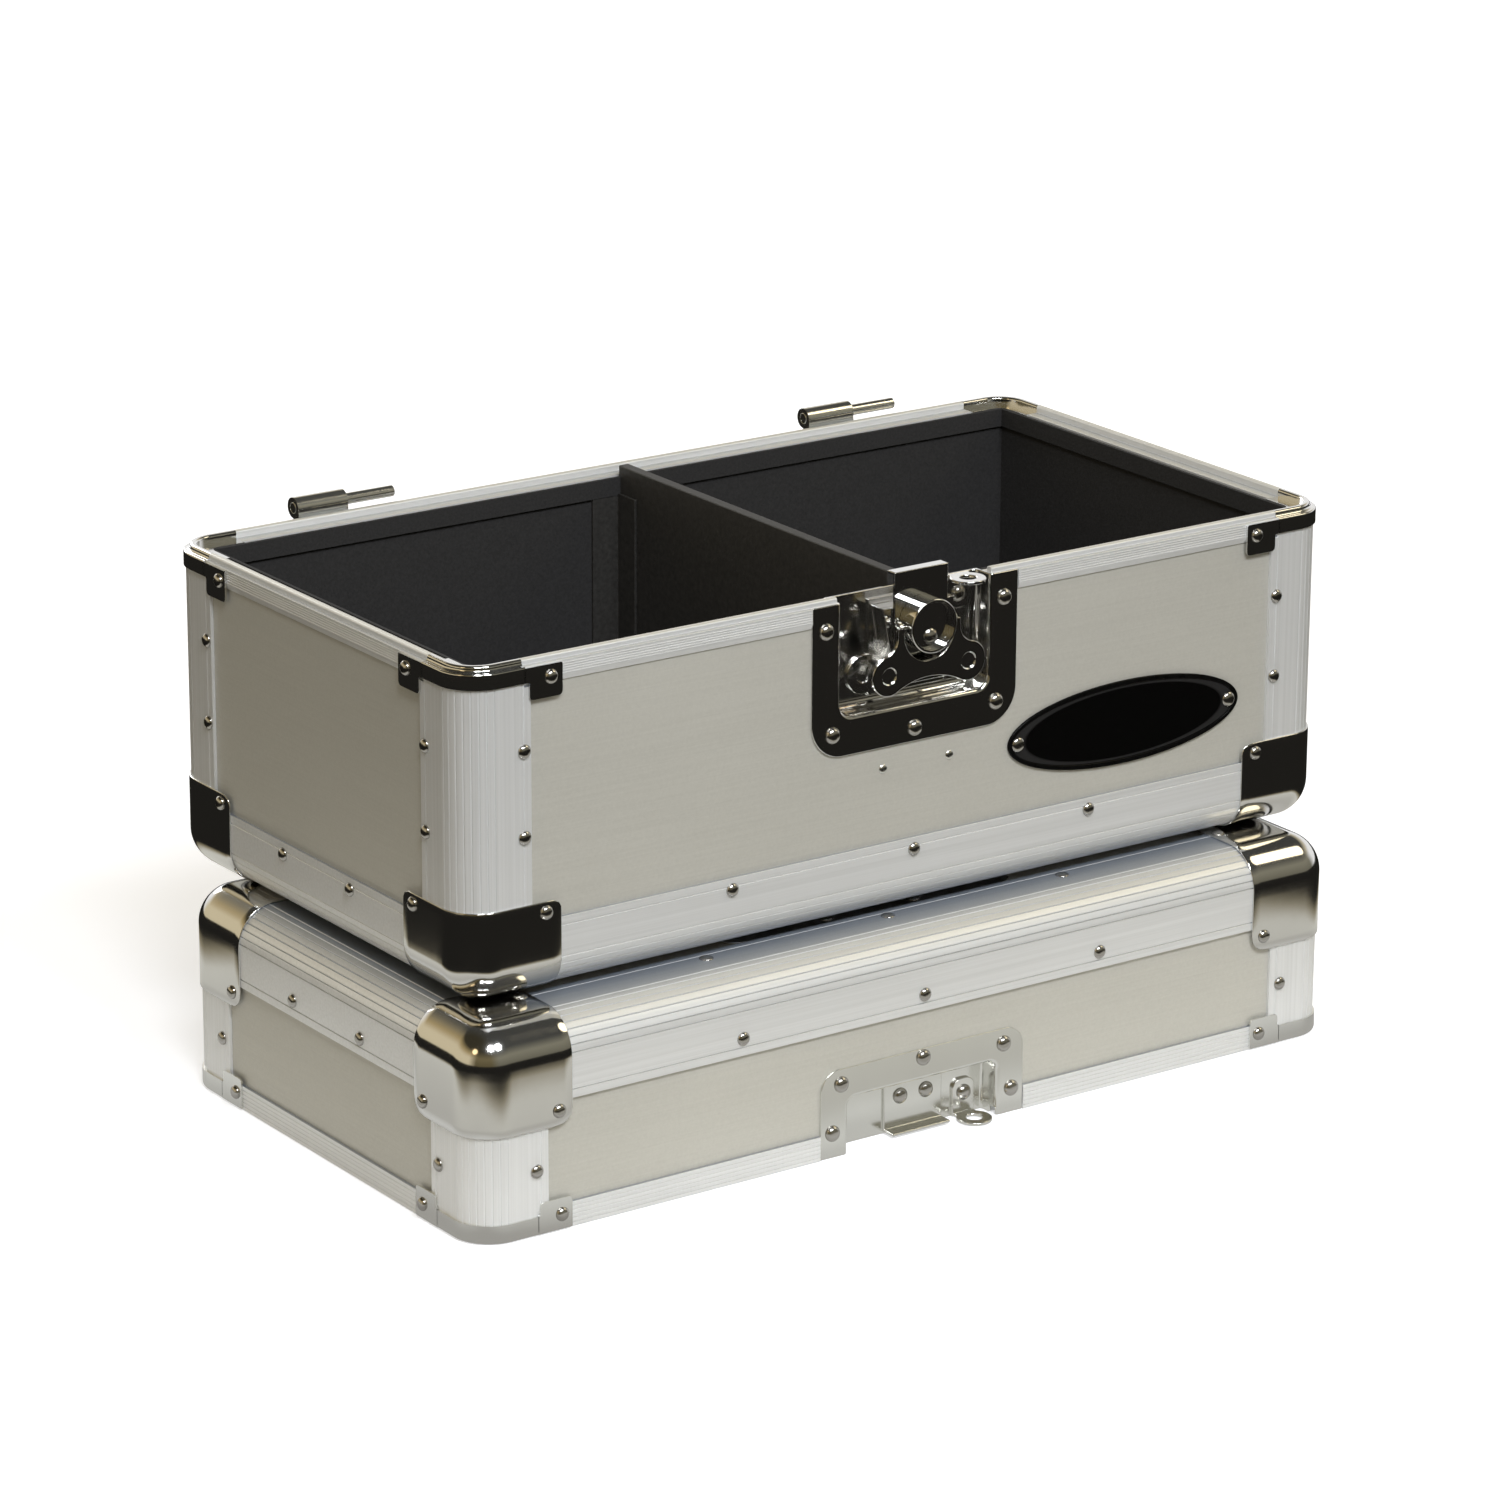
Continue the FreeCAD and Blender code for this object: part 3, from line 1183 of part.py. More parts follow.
def handle_dish_rivets():
    z = LID_HEIGHT - SHEET + DISH_SHEET
    cy = handle_centre_y()
    front = HANDLE_DISH_DEPTH / 2 - HANDLE_RIVET_INSET
    end = HANDLE_DISH_LENGTH / 2 - HANDLE_RIVET_INSET
    solids = []
    for sx in (-1, 1):
        for sy in (-1, 1):
            for x, y in ((HANDLE_RIVET_HALF, front), (end, HANDLE_RIVET_HALF)):
                solids.append(dome(V(sx * x, cy + sy * y, z), AX_Z, RIVET_RADIUS, SMALL_RIVET_HEIGHT))
    return solids


# Oval plate

def ellipse_face(half_length, half_height, y):
    curve = Part.Ellipse(
        V(OVAL_X + half_length, y, OVAL_Z), V(OVAL_X, y, OVAL_Z + half_height), V(OVAL_X, y, OVAL_Z)
    )
    return Part.Face(Part.Wire(curve.toShape()))


def oval_plate():
    y = front_y(SHEET)
    face = ellipse_face(OVAL_HALF_LENGTH - OVAL_RING, OVAL_HALF_HEIGHT - OVAL_RING, y)
    return face.extrude(V(0, -OVAL_THICK, 0))


def oval_ring():
    y = front_y(SHEET)
    outer = ellipse_face(OVAL_HALF_LENGTH, OVAL_HALF_HEIGHT, y).extrude(V(0, -OVAL_RING_THICK, 0))
    inner = ellipse_face(OVAL_HALF_LENGTH - OVAL_RING, OVAL_HALF_HEIGHT - OVAL_RING, y)
    return outer.cut(inner.extrude(V(0, -OVAL_RING_THICK, 0)))


def oval_rivets():
    y = front_y(SHEET - OVAL_THICK)
    out = V(0, -1, 0)
    solids = []
    for side in (-1, 1):
        rivet_x = OVAL_X + side * (OVAL_HALF_LENGTH - OVAL_RIVET_INSET)
        solids.append(dome(V(rivet_x, y, OVAL_Z), out, RIVET_RADIUS, RIVET_HEIGHT))
    return solids


# Partition

def partition():
    half = PARTITION_THICK / 2
    y0 = front_y(PARTITION_FRONT)
    y1 = HALF_D - SKIN_IN - LINING_THICK
    z0 = SKIN_IN + LINING_THICK
    return box(-half, half, y0, y1, z0, BASE_HEIGHT + PARTITION_RIM_DROP)


def partition_angles():
    """Two upright angles that hold the partition to the back wall."""
    y1 = HALF_D - SKIN_IN - LINING_THICK
    z0 = SKIN_IN + LINING_THICK
    z1 = BASE_HEIGHT - BASE_BAND
    solids = []
    for side in (-1, 1):
        a = side * PARTITION_THICK / 2
        b = side * (PARTITION_THICK / 2 + ANGLE_THICK)
        c = side * (PARTITION_THICK / 2 + ANGLE_LEG)
        leg = box(min(a, b), max(a, b), y1 - ANGLE_LEG, y1, z0, z1)
        foot = box(min(a, c), max(a, c), y1 - ANGLE_THICK, y1, z0, z1)
        solids.append(fused([leg, foot]))
    return solids


# Hinges

def hinge_leaf(z_axis, z_far, x_from, length, bore):
    """A leaf flat on the outside of the rim and back panel, with a knuckle at one end."""
    y_axis = HALF_D + HINGE_AXIS_OUT
    half = HINGE_WIDTH / 2
    leaf_end = z_axis + math.copysign(HINGE_BARREL_RADIUS + HINGE_END_GAP, z_far - z_axis)
    leaf = box(
        HINGE_X - half, HINGE_X + half, HALF_D, HALF_D + HINGE_LEAF, min(leaf_end, z_far),
        max(leaf_end, z_far)
    )
    knuckle = rod(V(x_from, y_axis, z_axis), AX_X, HINGE_BARREL_RADIUS, length)
    web = box(x_from, x_from + length, HALF_D, y_axis, min(z_axis, leaf_end), max(z_axis, leaf_end))
    hole = rod(V(x_from - OVERRUN, y_axis, z_axis), AX_X, bore, length + OVERRUN * 2)
    return fused([leaf, web, knuckle]).cut(hole)


def hinge_rise():
    """The hinge axis lies this far above the line where lid and base meet, so that the lid stands flat."""
    return HINGE_BARREL_RADIUS + HINGE_FLOOR_GAP


def base_hinge_leaves():
    x0 = HINGE_X - HINGE_KNUCKLE_LENGTH - HINGE_END_GAP / 2
    far = BASE_HEIGHT - HINGE_LEAF_HEIGHT
    one = hinge_leaf(BASE_HEIGHT + hinge_rise(), far, x0, HINGE_KNUCKLE_LENGTH, HINGE_PIN_RADIUS)
    other = one.copy()
    other.translate(V(-HINGE_X * 2, 0, 0))
    return [one, other]


def lid_leaf_top():
    return hinge_rise() + HINGE_BARREL_RADIUS + HINGE_LEAF_HEIGHT


def lid_hinge_leaves():
    x0 = HINGE_X + HINGE_END_GAP / 2
    one = hinge_leaf(
        hinge_rise(), lid_leaf_top(), x0, HINGE_KNUCKLE_LENGTH, HINGE_PIN_RADIUS + RUNNING_GAP * 2
    )
    other = one.copy()
    other.translate(V(-HINGE_X * 2, 0, 0))
    return [one, other]


def hinge_pins():
    length = HINGE_KNUCKLE_LENGTH * 2 + HINGE_END_GAP / 2
    z_axis = BASE_HEIGHT + hinge_rise()
    start = V(HINGE_X - HINGE_KNUCKLE_LENGTH - HINGE_END_GAP / 2, HALF_D + HINGE_AXIS_OUT, z_axis)
    one = rod(start, AX_X, HINGE_PIN_RADIUS, length)
    other = one.copy()
    other.translate(V(-HINGE_X * 2, 0, 0))
    return [one, other]


# Assembly of the lid

def build_lid():
    place = LID_PLACE
    keeper_half = KEEPER_DISH_WIDTH / 2 - KEEPER_STRIP + DISH_SHEET + DISH_CUT_GAP
    keeper_top = KEEPER_DISH_HEIGHT - KEEPER_STRIP + DISH_SHEET + DISH_CUT_GAP
    notch = recess_cut(keeper_half, -OVERRUN, keeper_top)
    panel_low = LID_PANEL_LOW
    panel_top = LID_HEIGHT - EDGE_RADIUS
    front, back, left, right = wall_panels(panel_low, panel_top, notch)
    put("lid_front_panel", [front], place)
    put("lid_back_panel", [back], place)
    put("lid_left_panel", [left], place)
    put("lid_right_panel", [right], place)
    cy = handle_centre_y()
    half_x = HANDLE_RECESS_LENGTH / 2 + DISH_SHEET + DISH_CUT_GAP
    half_y = HANDLE_RECESS_DEPTH / 2 + DISH_SHEET + DISH_CUT_GAP
    well = box(
        -half_x, half_x, cy - half_y, cy + half_y, LID_HEIGHT - PANEL_IN - OVERRUN, LID_HEIGHT + OVERRUN
    )
    put("lid_top_panel", [floor_panel(LID_HEIGHT - PANEL_IN, LID_HEIGHT - SHEET).cut(well)], place)
    posts = corner_posts(LID_FLANGE, LID_PANEL_LOW, LID_HEIGHT - LID_FLANGE, 0, LID_BAND)
    put("lid_corner_posts", posts, place)
    put("lid_edge_extrusions", edge_sections(LID_FLANGE, LID_HEIGHT, -1), place)
    rim = rim_runs(lid_rim_section(), 0, keeper_half, KEEPER_DISH_WIDTH / 2 + DISH_CUT_GAP)
    put("lid_rim_extrusions", rim, place)
    put("lid_rim_clamps", lid_rim_clamps(), place)
    put("lid_ball_corners", lid_ball_corners(), place)
    put("lid_rivets", lid_rivets(), place)
    put("keeper_dish", [keeper_dish()], place)
    put("keeper_dish_rivets", keeper_dish_rivets(), place)
    put("keeper_plate", [keeper_plate()], place)
    put("keeper_rivets", keeper_rivets(), place)
    eye_z = EYE_RIM_GAP
    put("lid_hasp", [hasp(LID_EYE_FACE, eye_z, eye_z, LID_HASP_TOP_Z, True)], place)
    put("lid_hasp_rivet", [hasp_rivet(LID_HASP_RIVET_Z)], place)
    put("handle_dish", [handle_dish()], place)
    put("handle_dish_rivets", handle_dish_rivets(), place)
    put("handle_brackets", handle_brackets(), place)
    put("handle_pins", handle_pins(), place)
    put("handle_bail", [handle_bail()], place)
    put("handle_grip", [handle_grip()], place)
    skin = DISH_CUT_GAP
    board = LINING_THICK
    hx = HANDLE_RECESS_LENGTH / 2 + DISH_SHEET + skin
    hy = HANDLE_RECESS_DEPTH / 2 + DISH_SHEET + skin
    low = handle_floor() - DISH_SHEET - skin
    ceiling = LID_HEIGHT - SKIN_IN
    kx = KEEPER_DISH_WIDTH / 2 - KEEPER_STRIP + DISH_SHEET + skin
    kz = KEEPER_DISH_HEIGHT - KEEPER_STRIP + DISH_SHEET + skin
    y_in = front_y(SKIN_IN)
    y_dish = front_y(RECESS_BACK + DISH_SHEET + skin)
    bumps = [
        box(-hx - board, hx + board, cy - hy - board, cy + hy + board, low - board, ceiling),
        box(-kx - board, kx + board, y_in, y_dish + board, LID_BAND, kz + board),
    ]
    clears = [
        box(-hx, hx, cy - hy, cy + hy, low, ceiling + OVERRUN),
        box(-kx, kx, y_in - OVERRUN, y_dish, LID_BAND - OVERRUN, kz),
    ]
    put("lid_lining", [lining(ceiling, LID_BAND, bumps, clears)], place)
    put("lid_hinge_leaves", lid_hinge_leaves(), place)


# Assembly of the base

def build_base():
    place = BASE_PLACE
    half = LATCH_RECESS_WIDTH / 2 + DISH_SHEET + DISH_CUT_GAP
    dish_low = BASE_HEIGHT - LATCH_RECESS_HEIGHT - DISH_SHEET - DISH_CUT_GAP
    notch = recess_cut(half, dish_low, BASE_HEIGHT + OVERRUN)
    front, back, left, right = wall_panels(EDGE_RADIUS, BASE_PANEL_TOP, notch)
    put("base_front_panel", [front], place)
    put("base_back_panel", [back], place)
    put("base_left_panel", [left], place)
    put("base_right_panel", [right], place)
    put("base_floor_panel", [floor_panel(SHEET, PANEL_IN)], place)
    posts = corner_posts(BASE_FLANGE, BASE_FLANGE, BASE_PANEL_TOP, BASE_HEIGHT - BASE_BAND, BASE_HEIGHT)
    put("base_corner_posts", posts, place)
    put("base_edge_extrusions", edge_sections(BASE_FLANGE, 0, 1), place)
    rim = rim_runs(base_rim_section(), BASE_HEIGHT, half, LATCH_DISH_WIDTH / 2 + DISH_CUT_GAP)
    put("base_rim_extrusions", rim, place)
    put("base_rim_clamps", base_rim_clamps(), place)
    put("base_ball_corners", base_ball_corners(), place)
    put("base_rivets", base_rivets(), place)
    put("latch_dish", [latch_dish()], place)
    put("latch_dish_rivets", latch_dish_rivets(), place)
    put("spare_rivets", spare_rivets(), place)
    put("latch_base_plate", [latch_base_plate()], place)
    put("latch_pivot", [latch_pivot()], place)
    put("latch_hook", [latch_hook()], place)
    put("latch_cam", [latch_cam()], place)
    put("latch_wing_pin", [latch_wing_pin()], place)
    put("latch_wing", [latch_wing()], place)
    eye_z = BASE_HEIGHT - EYE_RIM_GAP - HASP_SHEET
    put(
        "base_hasp",
        [hasp(BASE_EYE_FACE, eye_z, BASE_HEIGHT - BASE_HASP_LOW_DOWN, eye_z + HASP_SHEET, False)], place
    )
    put("base_hasp_rivet", [hasp_rivet(BASE_HEIGHT - BASE_HASP_RIVET_DOWN)], place)
    put("oval_plate", [oval_plate()], place)
    put("oval_ring", [oval_ring()], place)
    put("oval_rivets", oval_rivets(), place)
    skin = DISH_CUT_GAP
    board = LINING_THICK
    top = BASE_HEIGHT - BASE_BAND
    y_in = front_y(SKIN_IN)
    y_dish = front_y(RECESS_BACK + DISH_SHEET + skin)
    z_dish = BASE_HEIGHT - LATCH_RECESS_HEIGHT - DISH_SHEET - skin
    x_dish = LATCH_RECESS_WIDTH / 2 + DISH_SHEET + skin
    bumps = [box(-x_dish - board, x_dish + board, y_in, y_dish + board, z_dish - board, top)]
    clears = [box(-x_dish, x_dish, y_in - OVERRUN, y_dish, z_dish, top + OVERRUN)]
    put("base_lining", [lining(SKIN_IN, top, bumps, clears)], place)
    put("partition", [partition()], place)
    put("partition_angles", partition_angles(), place)
    put("base_hinge_leaves", base_hinge_leaves(), place)
    put("hinge_pins", hinge_pins(), place)


build_lid()
build_base()

os.makedirs("parts", exist_ok=True)
for name, solids in parts.items():
    shape = solids[0] if len(solids) == 1 else Part.makeCompound(solids)
    if shape.isNull() or not shape.isValid():
        print("not valid:", name)
    count = len(shape.Solids)
    if count != len(solids):
        print("pieces:", name, count, "solids from", len(solids))
    shape.exportStep("parts/" + name + ".step")
box_all = Part.makeCompound([s for group in parts.values() for s in group]).BoundBox
print("nodes", len(parts), "size", box_all.XLength, box_all.YLength, box_all.ZLength)
print("x", box_all.XMin, box_all.XMax, "y", box_all.YMin, box_all.YMax, "z", box_all.ZMin, box_all.ZMax)
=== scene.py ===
import bmesh
import bpy
import json
import math
from mathutils import Matrix, Vector


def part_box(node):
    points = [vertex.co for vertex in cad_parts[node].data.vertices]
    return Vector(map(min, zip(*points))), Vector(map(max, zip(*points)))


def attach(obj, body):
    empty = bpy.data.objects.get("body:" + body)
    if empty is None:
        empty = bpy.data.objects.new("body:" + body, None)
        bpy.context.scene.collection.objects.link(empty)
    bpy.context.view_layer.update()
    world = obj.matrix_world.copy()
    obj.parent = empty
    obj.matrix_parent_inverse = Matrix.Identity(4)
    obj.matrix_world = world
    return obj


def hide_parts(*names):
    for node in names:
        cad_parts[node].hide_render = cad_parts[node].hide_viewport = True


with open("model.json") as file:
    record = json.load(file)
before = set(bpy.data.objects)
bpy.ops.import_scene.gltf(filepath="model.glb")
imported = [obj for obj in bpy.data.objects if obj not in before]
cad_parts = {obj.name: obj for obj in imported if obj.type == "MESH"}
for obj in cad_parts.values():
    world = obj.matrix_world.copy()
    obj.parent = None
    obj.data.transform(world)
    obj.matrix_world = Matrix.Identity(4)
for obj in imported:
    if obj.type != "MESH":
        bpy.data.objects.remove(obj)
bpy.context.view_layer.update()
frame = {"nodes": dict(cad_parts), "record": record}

MM = 0.001
CENTRE = 0.5
WELD = 0.00002
SMOOTH_ANGLE = math.radians(32.0)
BEVEL_ANGLE = math.radians(38.0)
FLAT_ANGLE = math.radians(1.0)
NORMAL_WEIGHT = 60


# Places of the two halves, read from the frame

def middle(node):
    low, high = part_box(node)
    return (low + high) * CENTRE


LID_RIM_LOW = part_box("lid_rim_extrusions")[0]
BASE_RIM_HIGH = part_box("base_rim_extrusions")[1]
LID_MIDDLE = middle("lid_front_panel")
LID_MIDDLE.y = middle("lid_top_panel").y
BASE_MIDDLE = middle("base_front_panel")
BASE_MIDDLE.y = middle("base_floor_panel").y


# Node helpers; a source is a node together with the name or place of one of its outputs

MIX_FACTOR = 0
MIX_COLOUR_A = 6
MIX_COLOUR_B = 7
MIX_COLOUR_RESULT = 2
FIRST_SHADER = 1
SECOND_SHADER = 2
OPAQUE = 1.0
UNSCALED = 1.0
EVEN_ROUGHNESS = 0.5
UNIT_SPAN = (0.0, 1.0)


def link(tree, source, target, entry):
    node, output = source
    tree.links.new(node.outputs[output], target.inputs[entry])


def add(tree, kind, inputs=None, **settings):
    """A new node; each input is given a source or a plain value."""
    node = tree.nodes.new(kind)
    for key, value in settings.items():
        setattr(node, key, value)
    for entry, value in (inputs or {}).items():
        if isinstance(value, tuple) and isinstance(value[0], bpy.types.Node):
            link(tree, value, node, entry)
        else:
            node.inputs[entry].default_value = value
    return node


def new_material(name, values):
    material = bpy.data.materials.new(name)
    material.use_nodes = True
    tree = material.node_tree
    shader = tree.nodes["Principled BSDF"]
    for entry, value in values.items():
        shader.inputs[entry].default_value = value
    return material, tree, shader


def grain(tree, scale, detail, roughness=EVEN_ROUGHNESS):
    """Noise in object coordinates, drawn out along an axis with a small scale."""
    place = add(tree, "ShaderNodeTexCoord")
    mapping = add(tree, "ShaderNodeMapping", {"Vector": (place, "Object"), "Scale": scale})
    noise = add(tree, "ShaderNodeTexNoise", {
        "Vector": (mapping, "Vector"), "Scale": UNSCALED, "Detail": detail, "Roughness": roughness,
    })
    return noise, "Fac"


def ramp(tree, source, stops):
    """A colour ramp; stops are (place, colour)."""
    node = add(tree, "ShaderNodeValToRGB", {"Fac": source})
    elements = node.color_ramp.elements
    while len(elements) < len(stops):
        elements.new(CENTRE)
    for element, (place, colour) in zip(elements, stops):
        element.position = place
        element.color = (*colour, OPAQUE)
    return node, "Color"


def span(tree, source, before=UNIT_SPAN, after=UNIT_SPAN, **settings):
    """Maps one range of values to another."""
    node = add(tree, "ShaderNodeMapRange", {
        "Value": source, "From Min": before[0], "From Max": before[1], "To Min": after[0], "To Max": after[1],
    }, **settings)
    return node, "Result"


def maths(tree, operation, first, second):
    return add(tree, "ShaderNodeMath", {0: first, 1: second}, operation=operation), "Value"


def vector_maths(tree, operation, first, second):
    return add(tree, "ShaderNodeVectorMath", {0: first, 1: second}, operation=operation), "Vector"


def vector_length(tree, source):
    return add(tree, "ShaderNodeVectorMath", {0: source}, operation="LENGTH"), "Value"


def blend(tree, share, first, second):
    node = add(tree, "ShaderNodeMix", {"Factor": share, "A": first, "B": second}, data_type="FLOAT")
    return node, "Result"


def blend_colours(tree, share, first, second, blend_type="MIX"):
    node = add(tree, "ShaderNodeMix", {MIX_FACTOR: share, MIX_COLOUR_A: first, MIX_COLOUR_B: second},
               data_type="RGBA", blend_type=blend_type)
    return node, MIX_COLOUR_RESULT


def mix_shaders(tree, share, first, second):
    node = add(tree, "ShaderNodeMixShader", {"Fac": share, FIRST_SHADER: first, SECOND_SHADER: second})
    return node, "Shader"


def bump(tree, shader, source, strength, distance):
    node = add(tree, "ShaderNodeBump", {"Strength": strength, "Distance": distance, "Height": source})
    link(tree, (node, "Normal"), shader, "Normal")


# Materials; grain scales are in waves per metre, distances in metres

PANEL_TONE = (0.57, 0.57, 0.543)
PANEL_TONE_DARK = (0.50, 0.50, 0.475)
PANEL_STOPS = ((0.35, PANEL_TONE_DARK), (0.65, PANEL_TONE))
PANEL_METALLIC = 0.25
PANEL_GLOSS = 0.4
PANEL_PEBBLE = {"scale": (900.0, 900.0, 900.0), "detail": 3.0, "roughness": 0.6}
PANEL_STREAK = {"scale": (14.0, 14.0, 1600.0), "detail": 4.0, "roughness": 0.55}
PANEL_CLOUD = {"scale": (7.0, 7.0, 9.0), "detail": 2.0}
PANEL_STREAK_SHARE = 0.5
PANEL_CLOUD_SHARE = 0.3
PANEL_ROUGHNESS = (0.44, 0.56)
PANEL_BUMP = {"strength": 0.12, "distance": 0.0001}

SECTION_TONE = (0.83, 0.85, 0.885)
SECTION_TONE_DARK = (0.75, 0.77, 0.80)
SECTION_STOPS = ((0.3, SECTION_TONE_DARK), (0.7, SECTION_TONE))
SECTION_METALLIC = 0.42
SECTION_ACROSS_SCALE = 800.0
SECTION_ALONG_SCALE = 5.0
SECTION_LINE = {"detail": 3.0, "roughness": 0.6}
SECTION_ROUGHNESS = (0.36, 0.45)
SECTION_BUMP = {"strength": 0.06, "distance": 0.0001}

# Painted shade for the sections: every upward face darker and warmer, bluish dark where another surface is
# within reach
PAINTED_SHADE_REACH = 0.045
PAINTED_SHADE_SAMPLES = 8
PAINTED_SHADE_STOPS = ((0.4, (0.30, 0.33, 0.38)), (0.97, (0.85, 0.82, 0.74)))
PAINTED_SHADE_FACING = (0.4, 0.85)

CHROME_TONE = (0.74, 0.735, 0.72)
NICKEL_TONE = (0.82, 0.82, 0.79)
RIVET_TONE = (0.50, 0.485, 0.46)
SPARE_TONE = (0.86, 0.86, 0.84)
PLATED_METALLIC = 1.0
PLATED_WAVE = {"scale": (45.0, 45.0, 45.0), "detail": 2.0}
PLATED_SPECK = {"scale": (700.0, 700.0, 700.0), "detail": 3.0}
PLATED_STOP_SHARES = (0.3, 0.7)
PLATED_DARK_SHARE = 0.97
PLATED_BUMP_DISTANCE = 0.001
LEAST_ROUGHNESS = 0.02

BLACK_TONE = (0.012, 0.012, 0.013)
BOARD_TONE = (0.018, 0.0175, 0.017)
RING_TONE = (0.0022, 0.0022, 0.0022)
BLACK_WEAVE = {"detail": 4.0, "roughness": 0.65}
BLACK_STOP_SHARES = (0.3, 0.75)
BLACK_LIGHT_SHARE = 2.2
BLACK_SPREAD = 0.06
BLACK_BUMP_DISTANCE = 0.0003
PLAIN_GLOSS = 0.5

OVAL_INNER_LONG_SHARE = 0.91
OVAL_INNER_HIGH_SHARE = 0.955
OVAL_STOPS = ((0.965, (0.0022, 0.0022, 0.0022)), (1.0, (0.022, 0.022, 0.023)))
OVAL_GLOSS = 0.12
OVAL_HAZE = {"scale": (60.0, 60.0, 60.0), "detail": 3.0}
OVAL_ROUGHNESS = (0.08, 0.2)
OVAL_BUMP = {"strength": 0.02, "distance": 0.0003}


def panel_material():
    """Silver laminate: a faint lengthwise grain and a fine pebble over a soft metallic coat."""
    material, tree, shader = new_material("silver_laminate", {
        "Metallic": PANEL_METALLIC, "Specular IOR Level": PANEL_GLOSS,
    })
    streak = grain(tree, **PANEL_STREAK)
    fine = blend(tree, PANEL_STREAK_SHARE, grain(tree, **PANEL_PEBBLE), streak)
    uneven = blend(tree, PANEL_CLOUD_SHARE, fine, grain(tree, **PANEL_CLOUD))
    link(tree, ramp(tree, uneven, PANEL_STOPS), shader, "Base Color")
    link(tree, span(tree, streak, after=PANEL_ROUGHNESS), shader, "Roughness")
    bump(tree, shader, fine, **PANEL_BUMP)
    return material


def painted_top_shade(tree, colour):
    """Painted shade: the colour, darker and warmer on every upward face, and darker still where another
    surface is close to it.
    """
    near = add(tree, "ShaderNodeAmbientOcclusion", {"Distance": PAINTED_SHADE_REACH}, samples=PAINTED_SHADE_SAMPLES)
    shade_tone = ramp(tree, (near, "AO"), PAINTED_SHADE_STOPS)
    geometry = add(tree, "ShaderNodeNewGeometry")
    facing = add(tree, "ShaderNodeSeparateXYZ", {"Vector": (geometry, "Normal")})
    upward = span(tree, (facing, "Z"), PAINTED_SHADE_FACING)
    return blend_colours(tree, upward, colour, shade_tone, "MULTIPLY")


def section_material(name, along):
    """Anodised aluminium, extruded along one axis, with fine die lines and painted shade on its upward faces.
    """
    material, tree, shader = new_material(name, {"Metallic": SECTION_METALLIC})
    scale = [SECTION_ACROSS_SCALE] * 3
    scale[along] = SECTION_ALONG_SCALE
    line = grain(tree, scale, **SECTION_LINE)
    # The base colour carries painted shade on the upward faces
    link(tree, painted_top_shade(tree, ramp(tree, line, SECTION_STOPS)), shader, "Base Color")
    link(tree, span(tree, line, after=SECTION_ROUGHNESS), shader, "Roughness")
    bump(tree, shader, line, **SECTION_BUMP)
    return material


def plated_material(name, tone, roughness, spread, ripple):
    """Plated steel sheet: uneven polish and a slight ripple from the press."""
    material, tree, shader = new_material(name, {"Metallic": PLATED_METALLIC})
    wave = grain(tree, **PLATED_WAVE)
    speck = grain(tree, **PLATED_SPECK)
    polish = (max(LEAST_ROUGHNESS, roughness - spread), roughness + spread)
    link(tree, span(tree, speck, after=polish), shader, "Roughness")
    darker = tuple(value * PLATED_DARK_SHARE for value in tone)
    colour = ramp(tree, wave, tuple(zip(PLATED_STOP_SHARES, (darker, tone))))
    link(tree, colour, shader, "Base Color")
    bump(tree, shader, wave, ripple, PLATED_BUMP_DISTANCE)
    return material


def black_material(name, tone, roughness, scale, strength, gloss=PLAIN_GLOSS):
    """Felt, board, rubber or paint in black, with a fine weave."""
    material, tree, shader = new_material(name, {"Specular IOR Level": gloss})
    weave = grain(tree, (scale, scale, scale), **BLACK_WEAVE)
    lighter = tuple(value * BLACK_LIGHT_SHARE for value in tone)
    colour = ramp(tree, weave, tuple(zip(BLACK_STOP_SHARES, (tone, lighter))))
    link(tree, colour, shader, "Base Color")
    dull = (max(LEAST_ROUGHNESS, roughness - BLACK_SPREAD), roughness + BLACK_SPREAD)
    link(tree, span(tree, weave, after=dull), shader, "Roughness")
    bump(tree, shader, weave, strength, BLACK_BUMP_DISTANCE)
    return material


def oval_material():
    """Gloss black plate with a dark grey margin outside an inner oval."""
    material, tree, shader = new_material("oval_gloss", {"Specular IOR Level": OVAL_GLOSS})
    low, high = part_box("oval_plate")
    half = (high - low) * CENTRE
    to_unit = (1 / (half.x * OVAL_INNER_LONG_SHARE), 0.0, 1 / (half.z * OVAL_INNER_HIGH_SHARE))
    place = add(tree, "ShaderNodeTexCoord")
    shifted = vector_maths(tree, "SUBTRACT", (place, "Object"), (low + high) * CENTRE)
    length = vector_length(tree, vector_maths(tree, "MULTIPLY", shifted, to_unit))
    link(tree, ramp(tree, length, OVAL_STOPS), shader, "Base Color")
    haze = grain(tree, **OVAL_HAZE)
    link(tree, span(tree, haze, after=OVAL_ROUGHNESS), shader, "Roughness")
    bump(tree, shader, haze, **OVAL_BUMP)
    return material


PANEL = panel_material()
SECTION_X = section_material("section_along_x", 0)
SECTION_Y = section_material("section_along_y", 1)
SECTION_Z = section_material("section_upright", 2)
CHROME = plated_material("bright_chrome", CHROME_TONE, roughness=0.06, spread=0.015, ripple=0.02)
CORNER = plated_material("corner_chrome", CHROME_TONE, roughness=0.11, spread=0.02, ripple=0.03)
DISH = plated_material("soft_chrome", CHROME_TONE, roughness=0.12, spread=0.02, ripple=0.02)
SPARE = plated_material("spare_rivet_white", SPARE_TONE, roughness=0.24, spread=0.03, ripple=0.01)
NICKEL = plated_material("satin_nickel", NICKEL_TONE, roughness=0.19, spread=0.02, ripple=0.03)
RIVET = plated_material("rivet_nickel", RIVET_TONE, roughness=0.20, spread=0.03, ripple=0.01)
LINING = black_material("lining_felt", BLACK_TONE, roughness=0.85, scale=900.0, strength=0.5)
